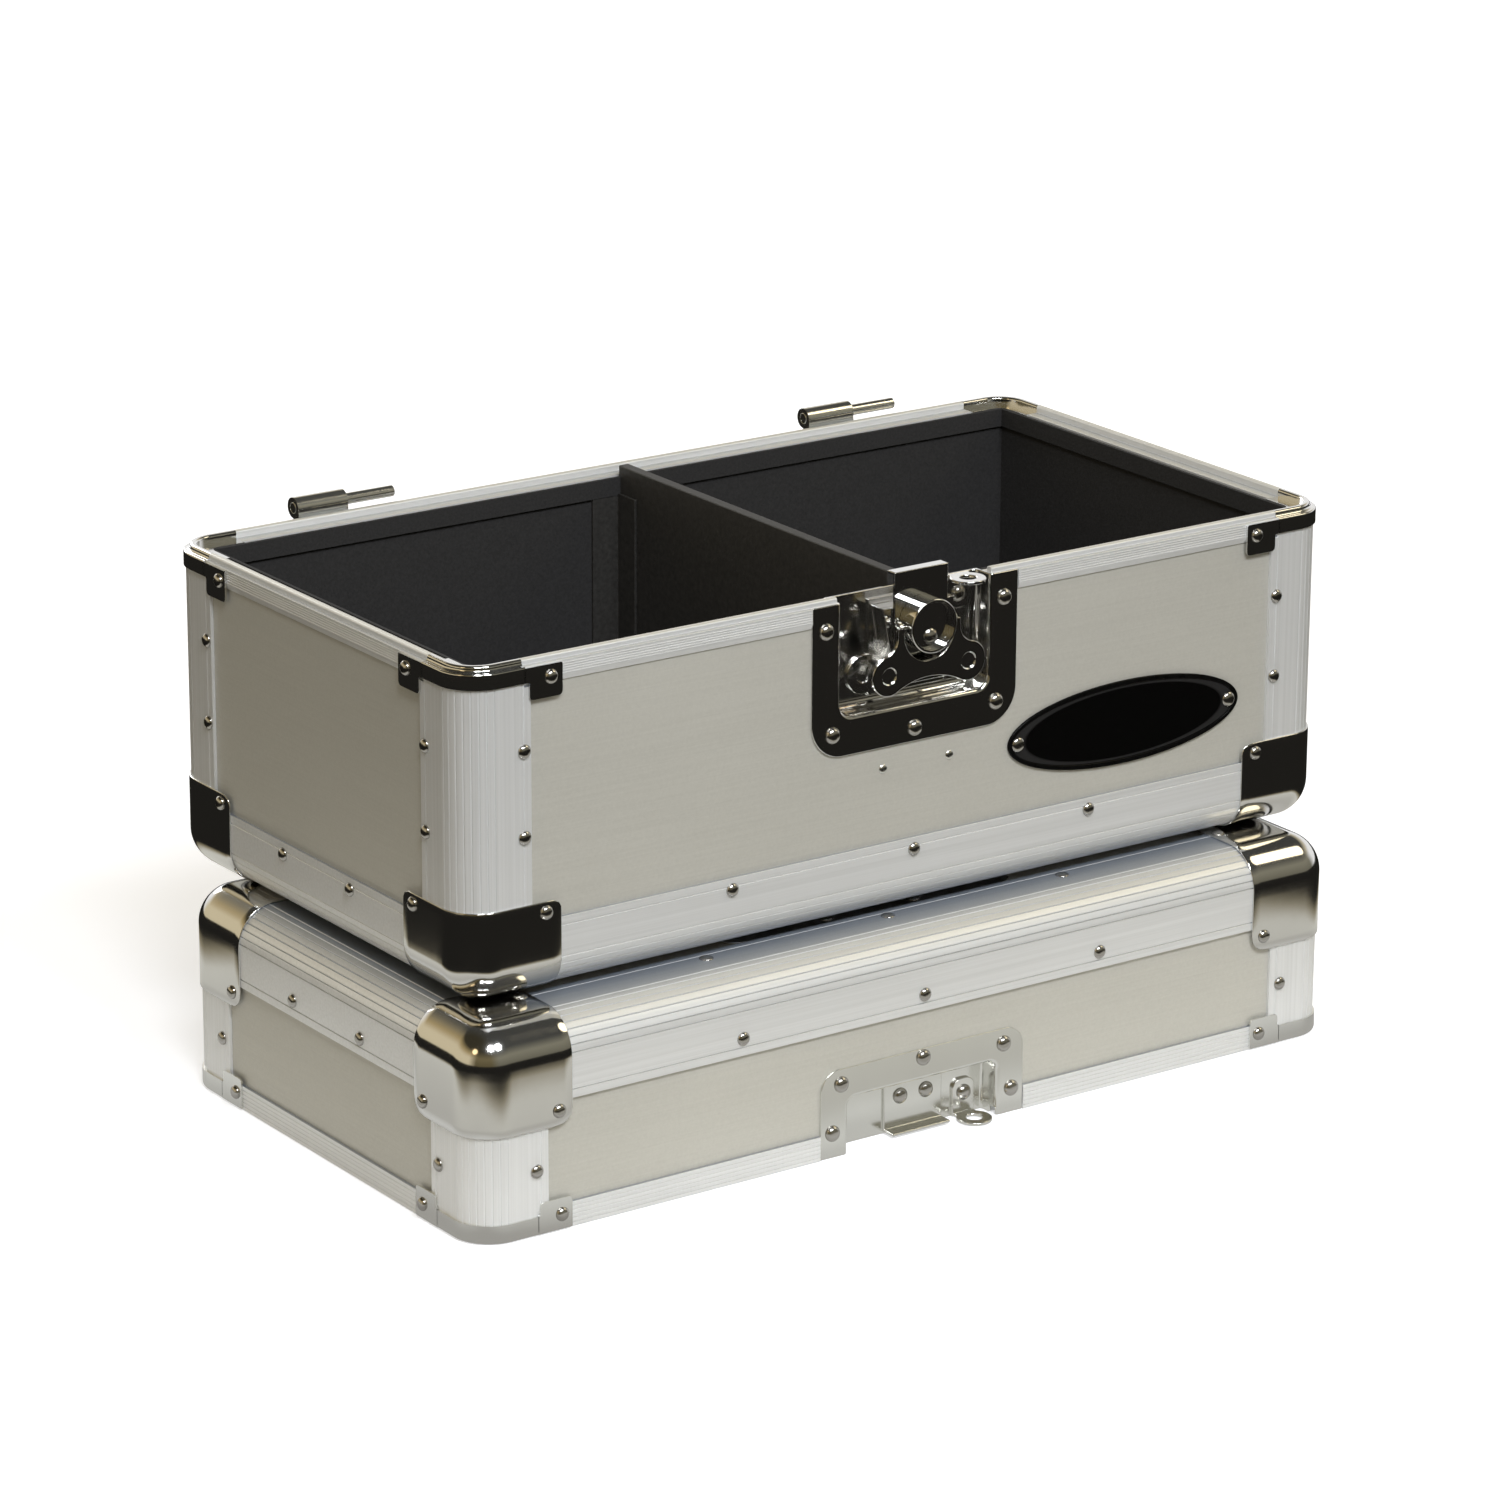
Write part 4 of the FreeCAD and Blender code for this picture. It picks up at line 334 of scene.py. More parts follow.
BOARD = black_material("black_board", BOARD_TONE, roughness=0.55, scale=500.0, strength=0.2)
GRIP = black_material("grip_rubber", BLACK_TONE, roughness=0.6, scale=1200.0, strength=0.4)
OVAL = oval_material()
RING = black_material("oval_ring_black", RING_TONE, roughness=0.2, scale=400.0, strength=0.02, gloss=0.07)


# Mesh helpers

def body_of(node):
    for body, members in frame["record"]["behaviour"]["bodies"].items():
        if node in members:
            return body
    raise ValueError(node)


def finish_piece(piece, node, material):
    piece.data.materials.clear()
    piece.data.materials.append(material)
    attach(piece, body_of(node))
    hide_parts(node)
    return piece


def made_mesh(bm, name):
    mesh = bpy.data.meshes.new(name)
    bm.to_mesh(mesh)
    bm.free()
    return mesh


def make_object(name, mesh):
    piece = bpy.data.objects.new(name, mesh)
    bpy.context.scene.collection.objects.link(piece)
    return piece


def connected_groups(items, neighbours):
    """Groups of vertices or faces that hang together."""
    seen = set()
    groups = []
    for start in items:
        if start in seen:
            continue
        stack = [start]
        seen.add(start)
        group = []
        while stack:
            item = stack.pop()
            group.append(item)
            for other in neighbours(item):
                if other not in seen:
                    seen.add(other)
                    stack.append(other)
        groups.append(group)
    return groups


# Pieces remade from the frame's own meshes, welded, smoothed and bevelled

SECTION_EDGE = 0.12 * MM
SLIM_EDGE = 0.2 * MM
HARDWARE_EDGE = 0.3 * MM
BOARD_EDGE = 0.5 * MM
SECTION_SEGMENTS = 1
EDGE_SEGMENTS = 2


def turned_edges(bm, least):
    """Edges between two faces that turn by more than the least angle."""
    return [edge for edge in bm.edges if len(edge.link_faces) == 2 and edge.calc_face_angle(0.0) > least]


def shade(bm):
    """Smooth faces, with sharp edges where the shape turns sharply."""
    for face in bm.faces:
        face.smooth = True
    for edge in turned_edges(bm, SMOOTH_ANGLE):
        edge.smooth = False


def soften(bm, bevel, segments):
    """Bevels the sharp edges; each bevel is shaded apart, so narrow faces beside wide ones stay right."""
    cut = bmesh.ops.bevel(bm, geom=turned_edges(bm, BEVEL_ANGLE), offset=bevel, offset_type="OFFSET",
                          segments=segments, profile=CENTRE, affect="EDGES", clamp_overlap=True)
    strips = set(cut["faces"])
    for face in strips:
        face.smooth = True
        for edge in face.edges:
            edge.smooth = all(other in strips for other in edge.link_faces)


def remade(node, material, bevel=HARDWARE_EDGE, segments=EDGE_SEGMENTS):
    """A welded copy of a node with flat faces joined, soft edges and weighted normals."""
    bm = bmesh.new()
    bm.from_mesh(frame["nodes"][node].data)
    bmesh.ops.remove_doubles(bm, verts=bm.verts, dist=WELD)
    bmesh.ops.dissolve_limit(bm, angle_limit=FLAT_ANGLE, verts=bm.verts, edges=bm.edges)
    shade(bm)
    if bevel > 0:
        soften(bm, bevel, segments)
    piece = make_object(node + "_finished", made_mesh(bm, node + "_mesh"))
    normals = piece.modifiers.new("normals", "WEIGHTED_NORMAL")
    normals.keep_sharp = True
    normals.weight = NORMAL_WEIGHT
    return finish_piece(piece, node, material)


def faces_beside(face):
    return [other for edge in face.edges for other in edge.link_faces]


def dress_sections(node, bevel):
    """Gives a node of bars the grain that runs along each bar."""
    piece = remade(node, SECTION_X, bevel=bevel, segments=SECTION_SEGMENTS)
    mesh = piece.data
    mesh.materials.append(SECTION_Y)
    mesh.materials.append(SECTION_Z)
    bm = bmesh.new()
    bm.from_mesh(mesh)
    for group in connected_groups(bm.faces, faces_beside):
        places = [vert.co for face in group for vert in face.verts]
        spans = [max(p[i] for p in places) - min(p[i] for p in places) for i in range(3)]
        longest = max(range(3), key=lambda i: spans[i])
        for face in group:
            face.material_index = longest
    bm.to_mesh(mesh)
    bm.free()


# Rivets, one smooth head at each CAD head

HEAD_STEPS = 24
HEAD_GROWTH_SHARE = 1.1
OVAL_HEAD_GROWTH_SHARE = 1.25
HEAD_PROFILE_SHARES = (
    (1.0, 0.0), (1.0, 0.16), (0.955, 0.34), (0.86, 0.55),
    (0.72, 0.745), (0.55, 0.885), (0.36, 0.965), (0.16, 0.998),
)


def vertices_beside(vert):
    return [edge.other_vert(vert) for edge in vert.link_edges]


def islands(mesh):
    """Groups of vertex places, one for each loose solid of a mesh."""
    bm = bmesh.new()
    bm.from_mesh(mesh)
    bmesh.ops.remove_doubles(bm, verts=bm.verts, dist=WELD)
    groups = [[vert.co.copy() for vert in group] for group in connected_groups(bm.verts, vertices_beside)]
    bm.free()
    return groups


def head_frame(group, about):
    """Foot, outward axis, radius and height of one rivet head on a half with its middle at about."""
    low = Vector([min(p[i] for p in group) for i in range(3)])
    high = Vector([max(p[i] for p in group) for i in range(3)])
    size = high - low
    axis = min(range(3), key=lambda i: size[i])
    foot = (low + high) * CENTRE
    out = Vector((0, 0, 0))
    if foot[axis] > about[axis]:
        out[axis] = 1.0
        foot[axis] = low[axis]
    else:
        out[axis] = -1.0
        foot[axis] = high[axis]
    return foot, out, max(size) * CENTRE, size[axis]


def add_head(bm, foot, out, radius, height):
    turn = Vector((0, 0, 1)).rotation_difference(out).to_matrix()
    rings = []
    for share_r, share_h in HEAD_PROFILE_SHARES:
        ring = []
        for i in range(HEAD_STEPS):
            angle = 2 * math.pi * i / HEAD_STEPS
            across = radius * share_r
            place = Vector((math.cos(angle) * across, math.sin(angle) * across, height * share_h))
            ring.append(bm.verts.new(foot + turn @ place))
        rings.append(ring)
    top = bm.verts.new(foot + out * height)
    for i in range(HEAD_STEPS):
        j = (i + 1) % HEAD_STEPS
        for below, above in zip(rings, rings[1:]):
            bm.faces.new((below[i], below[j], above[j], above[i])).smooth = True
        bm.faces.new((rings[-1][i], rings[-1][j], top)).smooth = True
    bm.faces.new(list(reversed(rings[0])))


def round_heads(node, material, grow=HEAD_GROWTH_SHARE):
    bm = bmesh.new()
    about = BASE_MIDDLE if body_of(node) == "base" else LID_MIDDLE
    for group in islands(frame["nodes"][node].data):
        foot, out, radius, height = head_frame(group, about)
        add_head(bm, foot, out, radius * grow, height)
    finish_piece(make_object(node + "_heads", made_mesh(bm, node + "_mesh")), node, material)


# Ball corners, as smooth pressed shells

SHEET_MM = 0.9
CORNER_SHEET = SHEET_MM * MM
CORNER_ROUND = 16.9 * MM
HALF_BEND = math.radians(45.0)
BEND_STEPS = 10
FLAT_STEPS = 7
EAR_REACH = 44.9 * MM
BASE_EAR_RISE = 39.9 * MM
BASE_EAR_ROUND = 4.0 * MM
LID_EAR_RISE = 43.9 * MM
LID_EAR_ROUND = 7.0 * MM
SHELL_EDGE_ANGLE = math.radians(60.0)


def corner_lines(reach):
    """Grid places from the sharp corner to the ear's end, closer together over the bend."""
    places = []
    for i in range(BEND_STEPS + 1):
        angle = HALF_BEND * (1 - i / BEND_STEPS)
        places.append(CORNER_ROUND * (1 - math.tan(angle)))
    for i in range(FLAT_STEPS):
        places.append(CORNER_ROUND + (reach - CORNER_ROUND) * (i + 1) / FLAT_STEPS)
    return places


def rounded_place(p):
    core = Vector([max(value, CORNER_ROUND) for value in p])
    away = p - core
    if away.length < WELD:
        return p
    return core + away.normalized() * CORNER_ROUND


def ear_place(a, b, reach_a, reach_b, r):
    """Moves a point of an ear's plane so that the ear's far corner is round."""
    da = a - (reach_a - r)
    db = b - (reach_b - r)
    if da <= 0 or db <= 0:
        return a, b
    scale = max(da, db) / math.hypot(da, db)
    return reach_a - r + da * scale, reach_b - r + db * scale


def ball_corner_mesh(bm, corner, inward, reach, ear_round):
    """One shell; corner is the sharp outer corner, inward the signs towards the case's middle."""
    for fixed in range(3):
        a, b = [axis for axis in range(3) if axis != fixed]
        lines_a = corner_lines(reach[a])
        lines_b = corner_lines(reach[b])
        grid = []
        for pa in lines_a:
            row = []
            for pb in lines_b:
                place = Vector((0, 0, 0))
                place[a], place[b] = ear_place(pa, pb, reach[a], reach[b], ear_round)
                place = rounded_place(place)
                row.append(bm.verts.new([corner[i] + inward[i] * place[i] for i in range(3)]))
            grid.append(row)
        for i in range(len(lines_a) - 1):
            for j in range(len(lines_b) - 1):
                bm.faces.new((grid[i][j], grid[i + 1][j], grid[i + 1][j + 1], grid[i][j + 1])).smooth = True


def ball_corners(node, up, reach_z, ear_round, material):
    """Four smooth corner shells of one half; up is the sign from the outer face towards the rim."""
    low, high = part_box(node)
    mid = (low + high) * CENTRE
    outer_z = low.z if up > 0 else high.z
    bm = bmesh.new()
    for sx in (-1, 1):
        for sy in (-1, 1):
            corner = (mid.x + sx * (high.x - mid.x), mid.y + sy * (high.y - mid.y), outer_z)
            ball_corner_mesh(bm, corner, (-sx, -sy, up), (EAR_REACH, EAR_REACH, reach_z), ear_round)
    bmesh.ops.remove_doubles(bm, verts=bm.verts, dist=WELD)
    bmesh.ops.recalc_face_normals(bm, faces=bm.faces)
    piece = make_object(node + "_shells", made_mesh(bm, node + "_mesh"))
    outward = piece.data.polygons[0]
    away = outward.center - mid
    wall = piece.modifiers.new("sheet", "SOLIDIFY")
    wall.thickness = CORNER_SHEET
    wall.offset = -1.0 if outward.normal.dot(away) > 0 else 1.0
    soft = piece.modifiers.new("edges", "BEVEL")
    soft.width = HARDWARE_EDGE
    soft.segments = EDGE_SEGMENTS
    soft.limit_method = "ANGLE"
    soft.angle_limit = SHELL_EDGE_ANGLE
    finish_piece(piece, node, material)


# Rim clamps, swept round each corner, and their riveted tabs. The tables are in millimetres: depth from the
# outer face and height over the rim for a section; place along the face, height and corner radius for a tab

CASE_HALF = (215.0 * MM, 111.5 * MM)
EDGE_RADIUS = 16.0 * MM
ARC_STEPS = 40
ROUND_STEPS = 5
SKIN_IN = 11.5
RIM_START = 28.0 * MM
TONGUE_HEIGHT = 2.4 * MM
BASE_CLAMP_BAND = 6.5
BASE_CLAMP_ARCS = (
    ((-0.2, -0.7), 0.7, 180, 90),
    ((0.6, 1.2), 1.2, -90, 0),
    ((2.8, 1.4), 1.0, 180, 90),
    ((3.8, 1.4), 1.0, 90, 0),
)
BASE_CLAMP_INSIDE = [(4.8, -0.8), (SKIN_IN, -0.8), (SKIN_IN, -2.2), (0.0, -2.2), (0.0, -BASE_CLAMP_BAND)]
LID_CLAMP_BAND = 8.0
LID_CLAMP_ARC = ((0.6, 1.5), 1.5, 180, 270)
LID_CLAMP_INSIDE = [
    (1.3, 0.0), (1.3, 3.2), (5.3, 3.2), (5.3, 0.0), (SKIN_IN, 0.0), (SKIN_IN, 4.6), (0.0, 4.6),
    (0.0, LID_CLAMP_BAND),
]
BASE_TAB = (
    (27.7, -0.5, 0), (45.0, -0.5, 0.8), (45.0, -13.7, 2.0), (29.9, -13.7, 2.0), (29.9, -BASE_CLAMP_BAND, 0.8),
    (27.7, -BASE_CLAMP_BAND, 0),
)
LID_TAB = (
    (27.7, 0.6, 0), (43.6, 0.6, 0.8), (43.6, 13.5, 2.0), (28.8, 13.5, 2.0), (28.8, LID_CLAMP_BAND, 0.5),
    (27.7, LID_CLAMP_BAND, 0),
)
BASE_RIM_Z = BASE_RIM_HIGH.z - TONGUE_HEIGHT


def arc(centre, radius, start, end):
    """Points on an arc between two angles in degrees."""
    points = []
    for i in range(ROUND_STEPS + 1):
        angle = math.radians(start + (end - start) * i / ROUND_STEPS)
        points.append((centre[0] + radius * math.cos(angle), centre[1] + radius * math.sin(angle)))
    return points


def base_clamp_profile():
    points = [(-SHEET_MM, -BASE_CLAMP_BAND)]
    for row in BASE_CLAMP_ARCS:
        points += arc(*row)
    return points + BASE_CLAMP_INSIDE


def lid_clamp_profile():
    return [(-SHEET_MM, LID_CLAMP_BAND)] + arc(*LID_CLAMP_ARC) + LID_CLAMP_INSIDE


def corner_stations(depth):
    """Places in plan, from the sharp corner, along a clamp at one depth."""
    run = EDGE_RADIUS - depth
    places = [(RIM_START, depth)]
    for i in range(ARC_STEPS + 1):
        angle = math.pi / 2 * i / ARC_STEPS
        places.append((EDGE_RADIUS - run * math.sin(angle), EDGE_RADIUS - run * math.cos(angle)))
    places.append((depth, RIM_START))
    return places


def four_corners(centre):
    for sx in (-1, 1):
        for sy in (-1, 1):
            yield Vector((centre.x + sx * CASE_HALF[0], centre.y + sy * CASE_HALF[1], 0)), sx, sy


def add_band(bm, rows, closed):
    """Faces between neighbouring rows, also from the last to the first; closed joins each row's ends."""
    for below, above in zip(rows, rows[1:] + rows[:1]):
        count = len(below)
        for j in range(count if closed else count - 1):
            k = (j + 1) % count
            bm.faces.new((below[j], below[k], above[k], above[j]))


def sweep_clamp(bm, profile, corner, sx, sy, rim_z):
    grid = []
    for depth, height in profile:
        row = []
        for px, py in corner_stations(depth * MM):
            row.append(bm.verts.new((corner.x - sx * px, corner.y - sy * py, rim_z + height * MM)))
        grid.append(row)
    add_band(bm, grid, closed=False)
    bm.faces.new([row[0] for row in grid])
    bm.faces.new([row[-1] for row in reversed(grid)])


def rounded_outline(corners):
    """A flat outline through corners given as (u, z, radius)."""
    points = []
    count = len(corners)
    for i, (u, z, radius) in enumerate(corners):
        here = Vector((u, z))
        if radius == 0:
            points.append(tuple(here))
            continue
        before = (Vector(corners[i - 1][:2]) - here).normalized()
        after = (Vector(corners[(i + 1) % count][:2]) - here).normalized()
        start = here + before * radius
        end = here + after * radius
        for k in range(ROUND_STEPS + 1):
            t = k / ROUND_STEPS
            points.append(tuple(start * (1 - t) ** 2 + here * 2 * t * (1 - t) + end * t ** 2))
    return points


def add_tab(bm, outline, corner, sx, sy, rim_z, along_x):
    rows = []
    for depth in (-SHEET_MM, 0.0):
        row = []
        for u, z in outline:
            px, py = (u, depth) if along_x else (depth, u)
            row.append(bm.verts.new((corner.x - sx * px * MM, corner.y - sy * py * MM, rim_z + z * MM)))
        rows.append(row)
    outer, inner = rows
    count = len(outline)
    for i in range(count):
        j = (i + 1) % count
        bm.faces.new((outer[i], outer[j], inner[j], inner[i]))
    bm.faces.new(outer)
    bm.faces.new(list(reversed(inner)))


def rim_clamps(node, profile, tab, centre, rim_z, material):
    bm = bmesh.new()
    outline = rounded_outline(tab)
    for corner, sx, sy in four_corners(centre):
        sweep_clamp(bm, profile, corner, sx, sy, rim_z)
        add_tab(bm, outline, corner, sx, sy, rim_z, True)
        add_tab(bm, outline, corner, sx, sy, rim_z, False)
    bmesh.ops.recalc_face_normals(bm, faces=bm.faces)
    shade(bm)
    finish_piece(make_object(node + "_finished", made_mesh(bm, node + "_mesh")), node, material)


# Lining strip that covers the inner side of the base's rim; insets and heights in millimetres

STRIP_OUT = SKIN_IN + 1.55
STRIP_TOP = -1.1
STRIP_LOW = -9.0
STRIP_PROFILE = ((SKIN_IN, STRIP_LOW), (SKIN_IN, STRIP_TOP), (STRIP_OUT, STRIP_TOP), (STRIP_OUT, STRIP_LOW))


def lining_strip(centre, rim_z):
    bm = bmesh.new()
    rings = []
    for inset, height in STRIP_PROFILE:
        hx = CASE_HALF[0] - inset * MM
        hy = CASE_HALF[1] - inset * MM
        z = rim_z + height * MM
        plan = ((-hx, -hy), (hx, -hy), (hx, hy), (-hx, hy))
        rings.append([bm.verts.new((centre.x + x, centre.y + y, z)) for x, y in plan])
    add_band(bm, rings, closed=True)
    bmesh.ops.recalc_face_normals(bm, faces=bm.faces)
    piece = make_object("base_lining_strip", made_mesh(bm, "lining_strip_mesh"))
    piece.data.materials.append(LINING)
    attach(piece, body_of("base_lining"))


# Floor

WHITE = (1.0, 1.0, 1.0, 1.0)
FOOTPRINT_HALF = (0.2225, 0.13, 1.0)
FLOOR_HALF = 14.0
FLOOR_DROP = 0.2 * MM
# Painted pool of light: rays other than the camera's see the floor bright near the case and dark further off;
# a noise makes the edge of it, and of the painted reflection, wavy
FLOOR_PAINTED_POOL_SPAN = (0.12, 0.21)
FLOOR_PAINTED_POOL_TONES = ((0.0, (0.94, 0.92, 0.87)), (1.0, (0.14, 0.13, 0.11)))
FLOOR_PAINTED_WAVE_SCALE = 3.0
FLOOR_PAINTED_WAVE_DETAIL = 0.0
FLOOR_PAINTED_WAVE_SPAN = (0.3, 0.7)
FLOOR_PAINTED_WAVE_SHIFT = (-0.02, 0.02)
FLOOR_CAMERA = (0.79, 0.81, 0.88, 1.0)
FLOOR_LIFT = (0.46, 1.0)
FLOOR_LIFT_SPAN = (0.4, 1.6)
# Painted reflection: metal sees the floor as a glow in bands by distance from the case, bright near it, then
# gold, then dark
FLOOR_PAINTED_REFLECTION_SPAN = 0.25
FLOOR_PAINTED_REFLECTION = (
    (0.0, (0.40, 0.39, 0.37)),
    (0.12, (0.70, 0.70, 0.67)),
    (0.26, (0.52, 0.51, 0.47)),
    (0.52, (0.68, 0.67, 0.61)),
    (0.60, (0.30, 0.26, 0.17)),
    (0.67, (0.016, 0.015, 0.013)),
)


def footprint_distance(tree):
    """Distance on the floor from the object's footprint."""
    place = add(tree, "ShaderNodeNewGeometry")
    size = add(tree, "ShaderNodeVectorMath", {0: (place, "Position")}, operation="ABSOLUTE")
    beyond = vector_maths(tree, "SUBTRACT", (size, "Vector"), FOOTPRINT_HALF)
    return vector_length(tree, vector_maths(tree, "MAXIMUM", beyond, (0.0, 0.0, 0.0)))


def floor_material():
    """White table for the camera. Other rays see a painted pool of light, bright near the case and dark
    further off. Metal sees a painted reflection, bright near the case and dark further off.
    """
    material, tree, shader = new_material("white_table", {})
    tree.nodes.remove(shader)
    light = add(tree, "ShaderNodeLightPath")
    camera_ray = (light, "Is Camera Ray")
    clear = footprint_distance(tree)
    place = add(tree, "ShaderNodeNewGeometry")
    painted_wave = add(tree, "ShaderNodeTexNoise", {
        "Vector": (place, "Position"), "Scale": FLOOR_PAINTED_WAVE_SCALE, "Detail": FLOOR_PAINTED_WAVE_DETAIL,
    })
    length = maths(tree, "ADD", clear, span(tree, (painted_wave, "Fac"), FLOOR_PAINTED_WAVE_SPAN, FLOOR_PAINTED_WAVE_SHIFT))
    fade = span(tree, length, FLOOR_PAINTED_POOL_SPAN, interpolation_type="SMOOTHSTEP")
    # The camera sees an even white floor; other rays see the painted pool of light
    white = blend_colours(tree, camera_ray, ramp(tree, fade, FLOOR_PAINTED_POOL_TONES), FLOOR_CAMERA)
    matt = add(tree, "ShaderNodeBsdfDiffuse", {"Color": white})
    through = maths(tree, "MAXIMUM", camera_ray, (light, "Is Transmission Ray"))
    lift = maths(tree, "MULTIPLY", through, span(tree, clear, FLOOR_LIFT_SPAN, FLOOR_LIFT))
    glow = add(tree, "ShaderNodeEmission", {"Color": WHITE, "Strength": lift})
    lit = add(tree, "ShaderNodeAddShader", {0: (matt, "BSDF"), 1: (glow, "Emission")})
    # Metal sees the painted reflection instead of the lit floor
    spread = maths(tree, "MULTIPLY", length, 1 / FLOOR_PAINTED_REFLECTION_SPAN)
    seen = add(tree, "ShaderNodeEmission", {"Color": ramp(tree, spread, FLOOR_PAINTED_REFLECTION)})
    mixed = mix_shaders(tree, (light, "Is Glossy Ray"), (lit, "Shader"), (seen, "Emission"))
    link(tree, mixed, tree.nodes["Material Output"], "Surface")
    return material


def build_floor():
    mesh = bpy.data.meshes.new("floor_mesh")
    h = FLOOR_HALF
    mesh.from_pydata([(-h, -h, 0), (h, -h, 0), (h, h, 0), (-h, h, 0)], [], [(0, 1, 2, 3)])
    floor = make_object("floor", mesh)
    floor.location.z = -FLOOR_DROP
    mesh.materials.append(floor_material())


# World

WORLD_TONE = (1.0, 0.88, 0.64, 1.0)
WORLD_LIGHT = 0.36
SEEN_STRENGTH = 1.0
# White low, a gold band and dark above; for metal the gold band and the dark above are a painted reflection
WORLD_SEEN = (
    (0.30, (1.0, 1.0, 1.0)),
    (0.46, (0.60, 0.53, 0.38)),
    (0.62, (0.06, 0.06, 0.055)),
)
# Painted reflection of a dim room in front, seen by metal only
WORLD_PAINTED_ROOM = (
    (0.0, (0.17, 0.16, 0.12)),
    (0.35, (0.26, 0.245, 0.185)),
    (0.62, (0.06, 0.06, 0.055)),
)
# Painted warm tint on the reflections to the left, seen by metal only
WORLD_PAINTED_LEFT_TINT = (0.72, 0.62, 0.42, 1.0)
WORLD_FACING = (-0.05, -0.4)


def build_world():
    """Even light; the camera sees white, metal sees white low behind, a dim room in front and dark above. The
    room, the gold band, the dark above and the warm tint to the left are a painted reflection: they light
    nothing.
    """
    world = bpy.data.worlds.new("studio")
    bpy.context.scene.world = world
    world.use_nodes = True
    tree = world.node_tree
    back = tree.nodes["Background"]
    back.inputs["Color"].default_value = WORLD_TONE
    back.inputs["Strength"].default_value = WORLD_LIGHT
    light = add(tree, "ShaderNodeLightPath")
    glossy_ray = (light, "Is Glossy Ray")
    place = add(tree, "ShaderNodeTexCoord")
    parts = add(tree, "ShaderNodeSeparateXYZ", {"Vector": (place, "Generated")})
    rise = ramp(tree, (parts, "Z"), WORLD_SEEN)
    room = ramp(tree, (parts, "Z"), WORLD_PAINTED_ROOM)
    ahead = maths(tree, "MULTIPLY", span(tree, (parts, "Y"), WORLD_FACING), glossy_ray)
    around = blend_colours(tree, ahead, rise, room)
    leftward = maths(tree, "MULTIPLY", span(tree, (parts, "X"), WORLD_FACING), glossy_ray)
    warm = blend_colours(tree, leftward, around, WORLD_PAINTED_LEFT_TINT, "MULTIPLY")
    bright = add(tree, "ShaderNodeBackground", {"Color": warm, "Strength": SEEN_STRENGTH})
    through = maths(tree, "MAXIMUM", (light, "Is Camera Ray"), (light, "Is Transmission Ray"))
    mixed = mix_shaders(tree, maths(tree, "MAXIMUM", through, glossy_ray), (back, "Background"),
                        (bright, "Background"))
    link(tree, mixed, tree.nodes["World Output"], "Surface")


# Lamps, each with its place and diameter in metres, power in watts and colour

LAMP_AIM = (0.0, 0.0, 0.12)
LAMPS = (
    ("key_left", (-0.85, -1.65, 1.95), 0.7, 28.0, (0.965, 0.985, 1.0)),
    ("key_right", (0.0, -1.80, 1.95), 0.7, 28.0, (0.965, 0.985, 1.0)),
    ("fill", (-2.2, -0.6, 1.5), 0.6, 1.8, (1.0, 0.74, 0.40)),
    ("warm_right", (1.57, -0.83, 1.68), 0.9, 5.5, (1.0, 0.88, 0.62)),
    ("back", (0.3, 2.5, 1.15), 1.2, 15.0, (1.0, 1.0, 1.0)),
)


def area_lamp(name, place, size, power, tone):
    lamp = bpy.data.lights.new(name, "AREA")
    lamp.shape = "DISK"
    lamp.size = size
    lamp.energy = power
    lamp.color = tone
    lamp_object = make_object(name, lamp)
    lamp_object.location = place
    aim = Vector(LAMP_AIM) - Vector(place)
    lamp_object.rotation_euler = aim.to_track_quat("-Z", "Y").to_euler()


# Camera fitted to the photograph

CAMERA_PLACE = Vector((-1.3376, -1.9019, 0.8890))
CAMERA_AZIMUTH = math.radians(-35.0178)
CAMERA_RISE = math.radians(18.0651)
CAMERA_ROLL = math.radians(0.2760)
CAMERA_FOCAL_PIXELS = 5853.9
CAMERA_CLIP_END = 100.0
PHOTO_PIXELS = 1500.0
SENSOR = 36.0


def build_camera():
    data = bpy.data.cameras.new("camera")
    data.sensor_width = SENSOR
    data.sensor_fit = "HORIZONTAL"
    data.lens = SENSOR * CAMERA_FOCAL_PIXELS / PHOTO_PIXELS
    data.clip_end = CAMERA_CLIP_END
    camera = make_object("camera", data)
    a = CAMERA_AZIMUTH
    e = CAMERA_RISE
    r = CAMERA_ROLL
    back = Vector((math.sin(a) * math.cos(e), -math.cos(a) * math.cos(e), math.sin(e)))
    right = Vector((0, 0, 1)).cross(back).normalized()
    up = back.cross(right)
    right_rolled = right * math.cos(r) + up * math.sin(r)
    up_rolled = up * math.cos(r) - right * math.sin(r)
    turn = Matrix((right_rolled, up_rolled, back)).transposed()
    camera.matrix_world = Matrix.Translation(CAMERA_PLACE) @ turn.to_4x4()
    bpy.context.scene.camera = camera


# The object. The lid's edge sections stay sharp, because a bevel would bend their faces beside the top panel

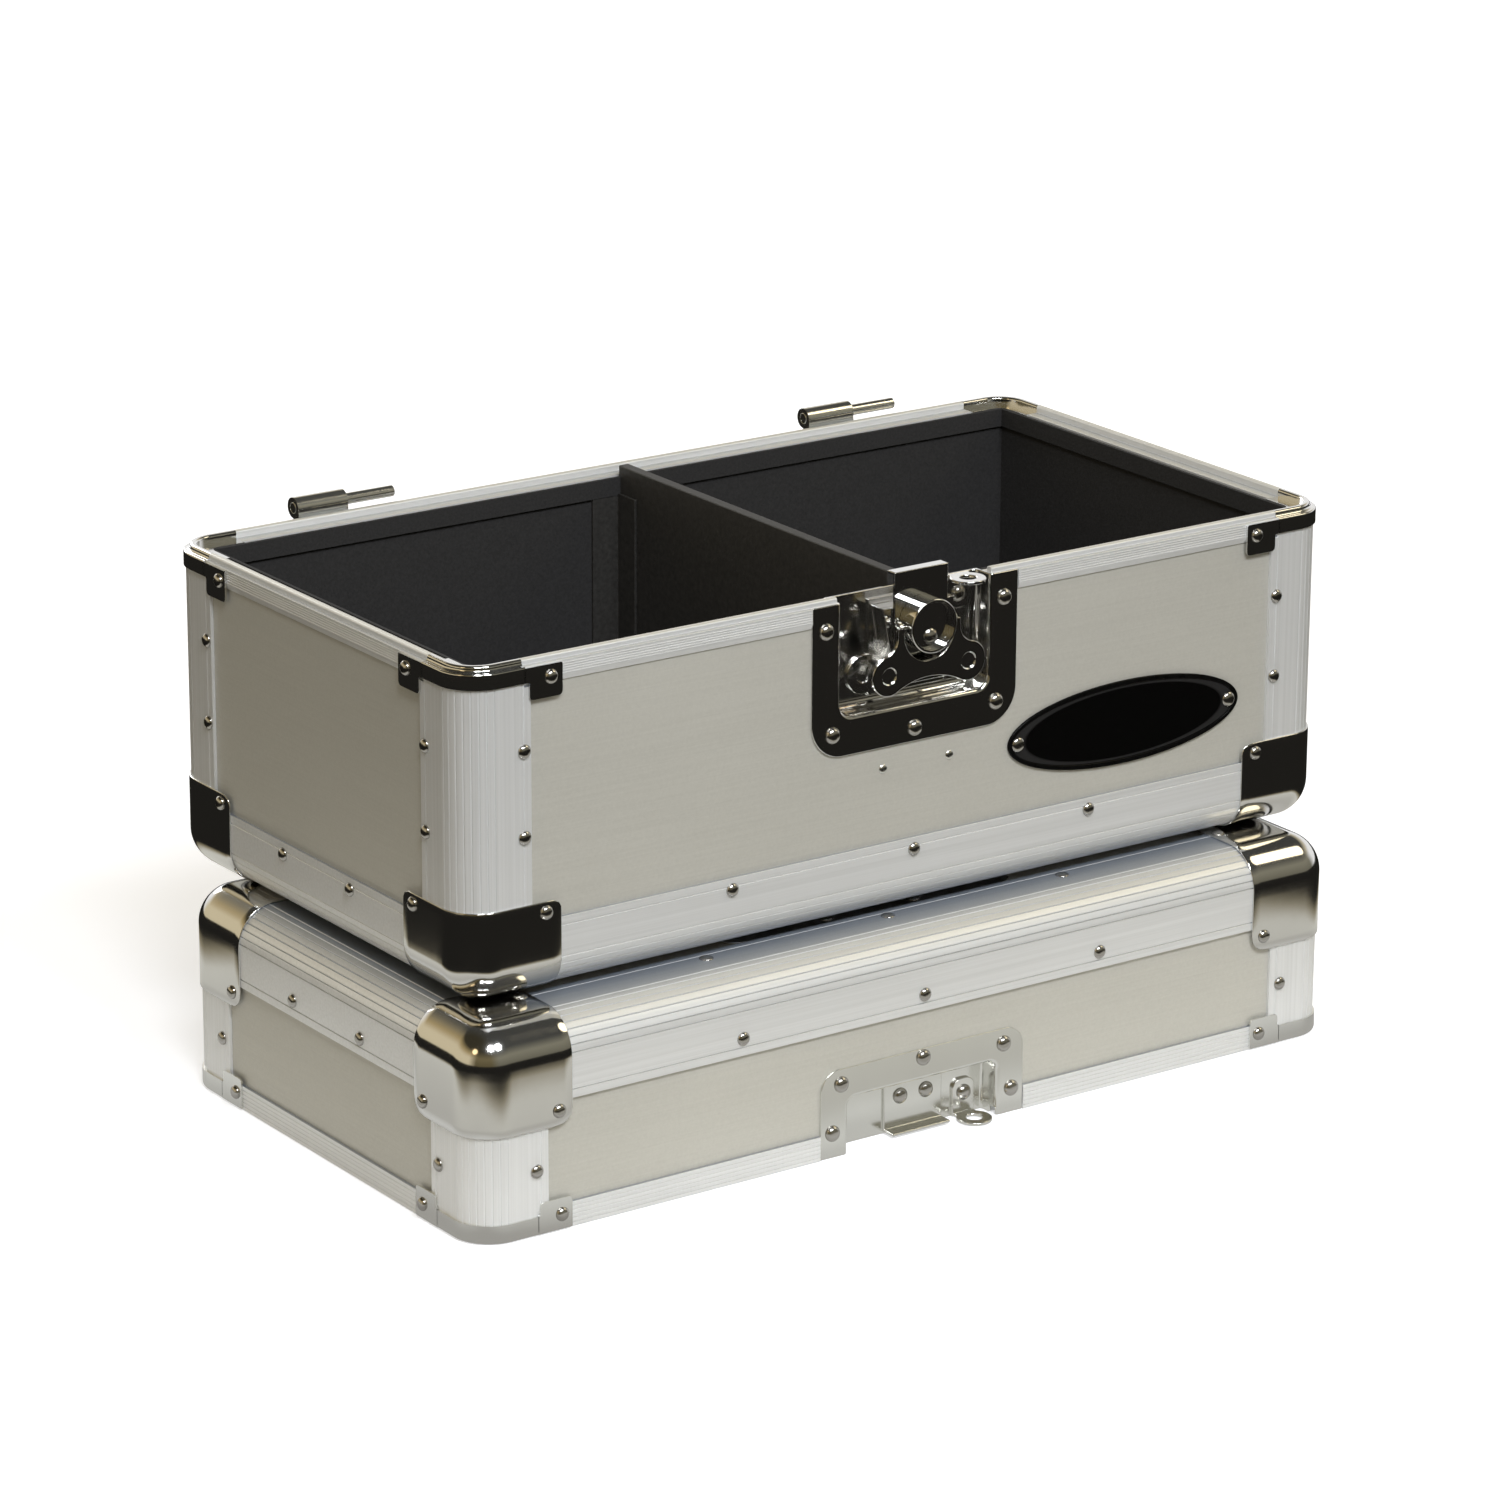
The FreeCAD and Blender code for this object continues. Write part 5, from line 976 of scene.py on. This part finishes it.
for panel in ("front", "back", "left", "right"):
    remade(f"base_{panel}_panel", PANEL, bevel=0)
    remade(f"lid_{panel}_panel", PANEL, bevel=0)
remade("base_floor_panel", PANEL, bevel=0)
remade("lid_top_panel", PANEL, bevel=0)

for sections in ("corner_posts", "rim_extrusions"):
    dress_sections("base_" + sections, SECTION_EDGE)
    dress_sections("lid_" + sections, SECTION_EDGE)
dress_sections("base_edge_extrusions", SECTION_EDGE)
dress_sections("lid_edge_extrusions", 0)

ball_corners("base_ball_corners", 1, BASE_EAR_RISE, BASE_EAR_ROUND, CORNER)
ball_corners("lid_ball_corners", -1, LID_EAR_RISE, LID_EAR_ROUND, CORNER)
rim_clamps("base_rim_clamps", base_clamp_profile(), BASE_TAB, BASE_MIDDLE, BASE_RIM_Z, DISH)
rim_clamps("lid_rim_clamps", lid_clamp_profile(), LID_TAB, LID_MIDDLE, LID_RIM_LOW.z, NICKEL)
lining_strip(BASE_MIDDLE, BASE_RIM_Z)

for heads in ("base_rivets", "lid_rivets", "latch_dish_rivets", "base_hasp_rivet",
              "keeper_dish_rivets", "keeper_rivets", "lid_hasp_rivet", "handle_dish_rivets"):
    round_heads(heads, RIVET)
round_heads("spare_rivets", SPARE)
round_heads("oval_rivets", RIVET, grow=OVAL_HEAD_GROWTH_SHARE)

for hardware in ("latch_hook", "latch_cam", "latch_wing_pin", "latch_wing", "handle_brackets", "handle_bail"):
    remade(hardware, CHROME)
for hardware in ("latch_dish", "latch_base_plate", "base_hasp", "handle_dish"):
    remade(hardware, DISH)
remade("latch_pivot", RIVET, bevel=SLIM_EDGE)
for hardware in ("keeper_dish", "keeper_plate", "lid_hasp", "handle_pins",
                 "lid_hinge_leaves", "base_hinge_leaves", "hinge_pins"):
    remade(hardware, NICKEL)

remade("handle_grip", GRIP, bevel=0)
remade("base_lining", LINING, bevel=0)
remade("lid_lining", LINING, bevel=0)
remade("partition", BOARD, bevel=BOARD_EDGE)
remade("partition_angles", BOARD, bevel=SLIM_EDGE)
remade("oval_plate", OVAL, bevel=SLIM_EDGE)
remade("oval_ring", RING)

build_floor()
build_world()
for row in LAMPS:
    area_lamp(*row)
build_camera()
bpy.context.scene.view_settings.view_transform = "Standard"
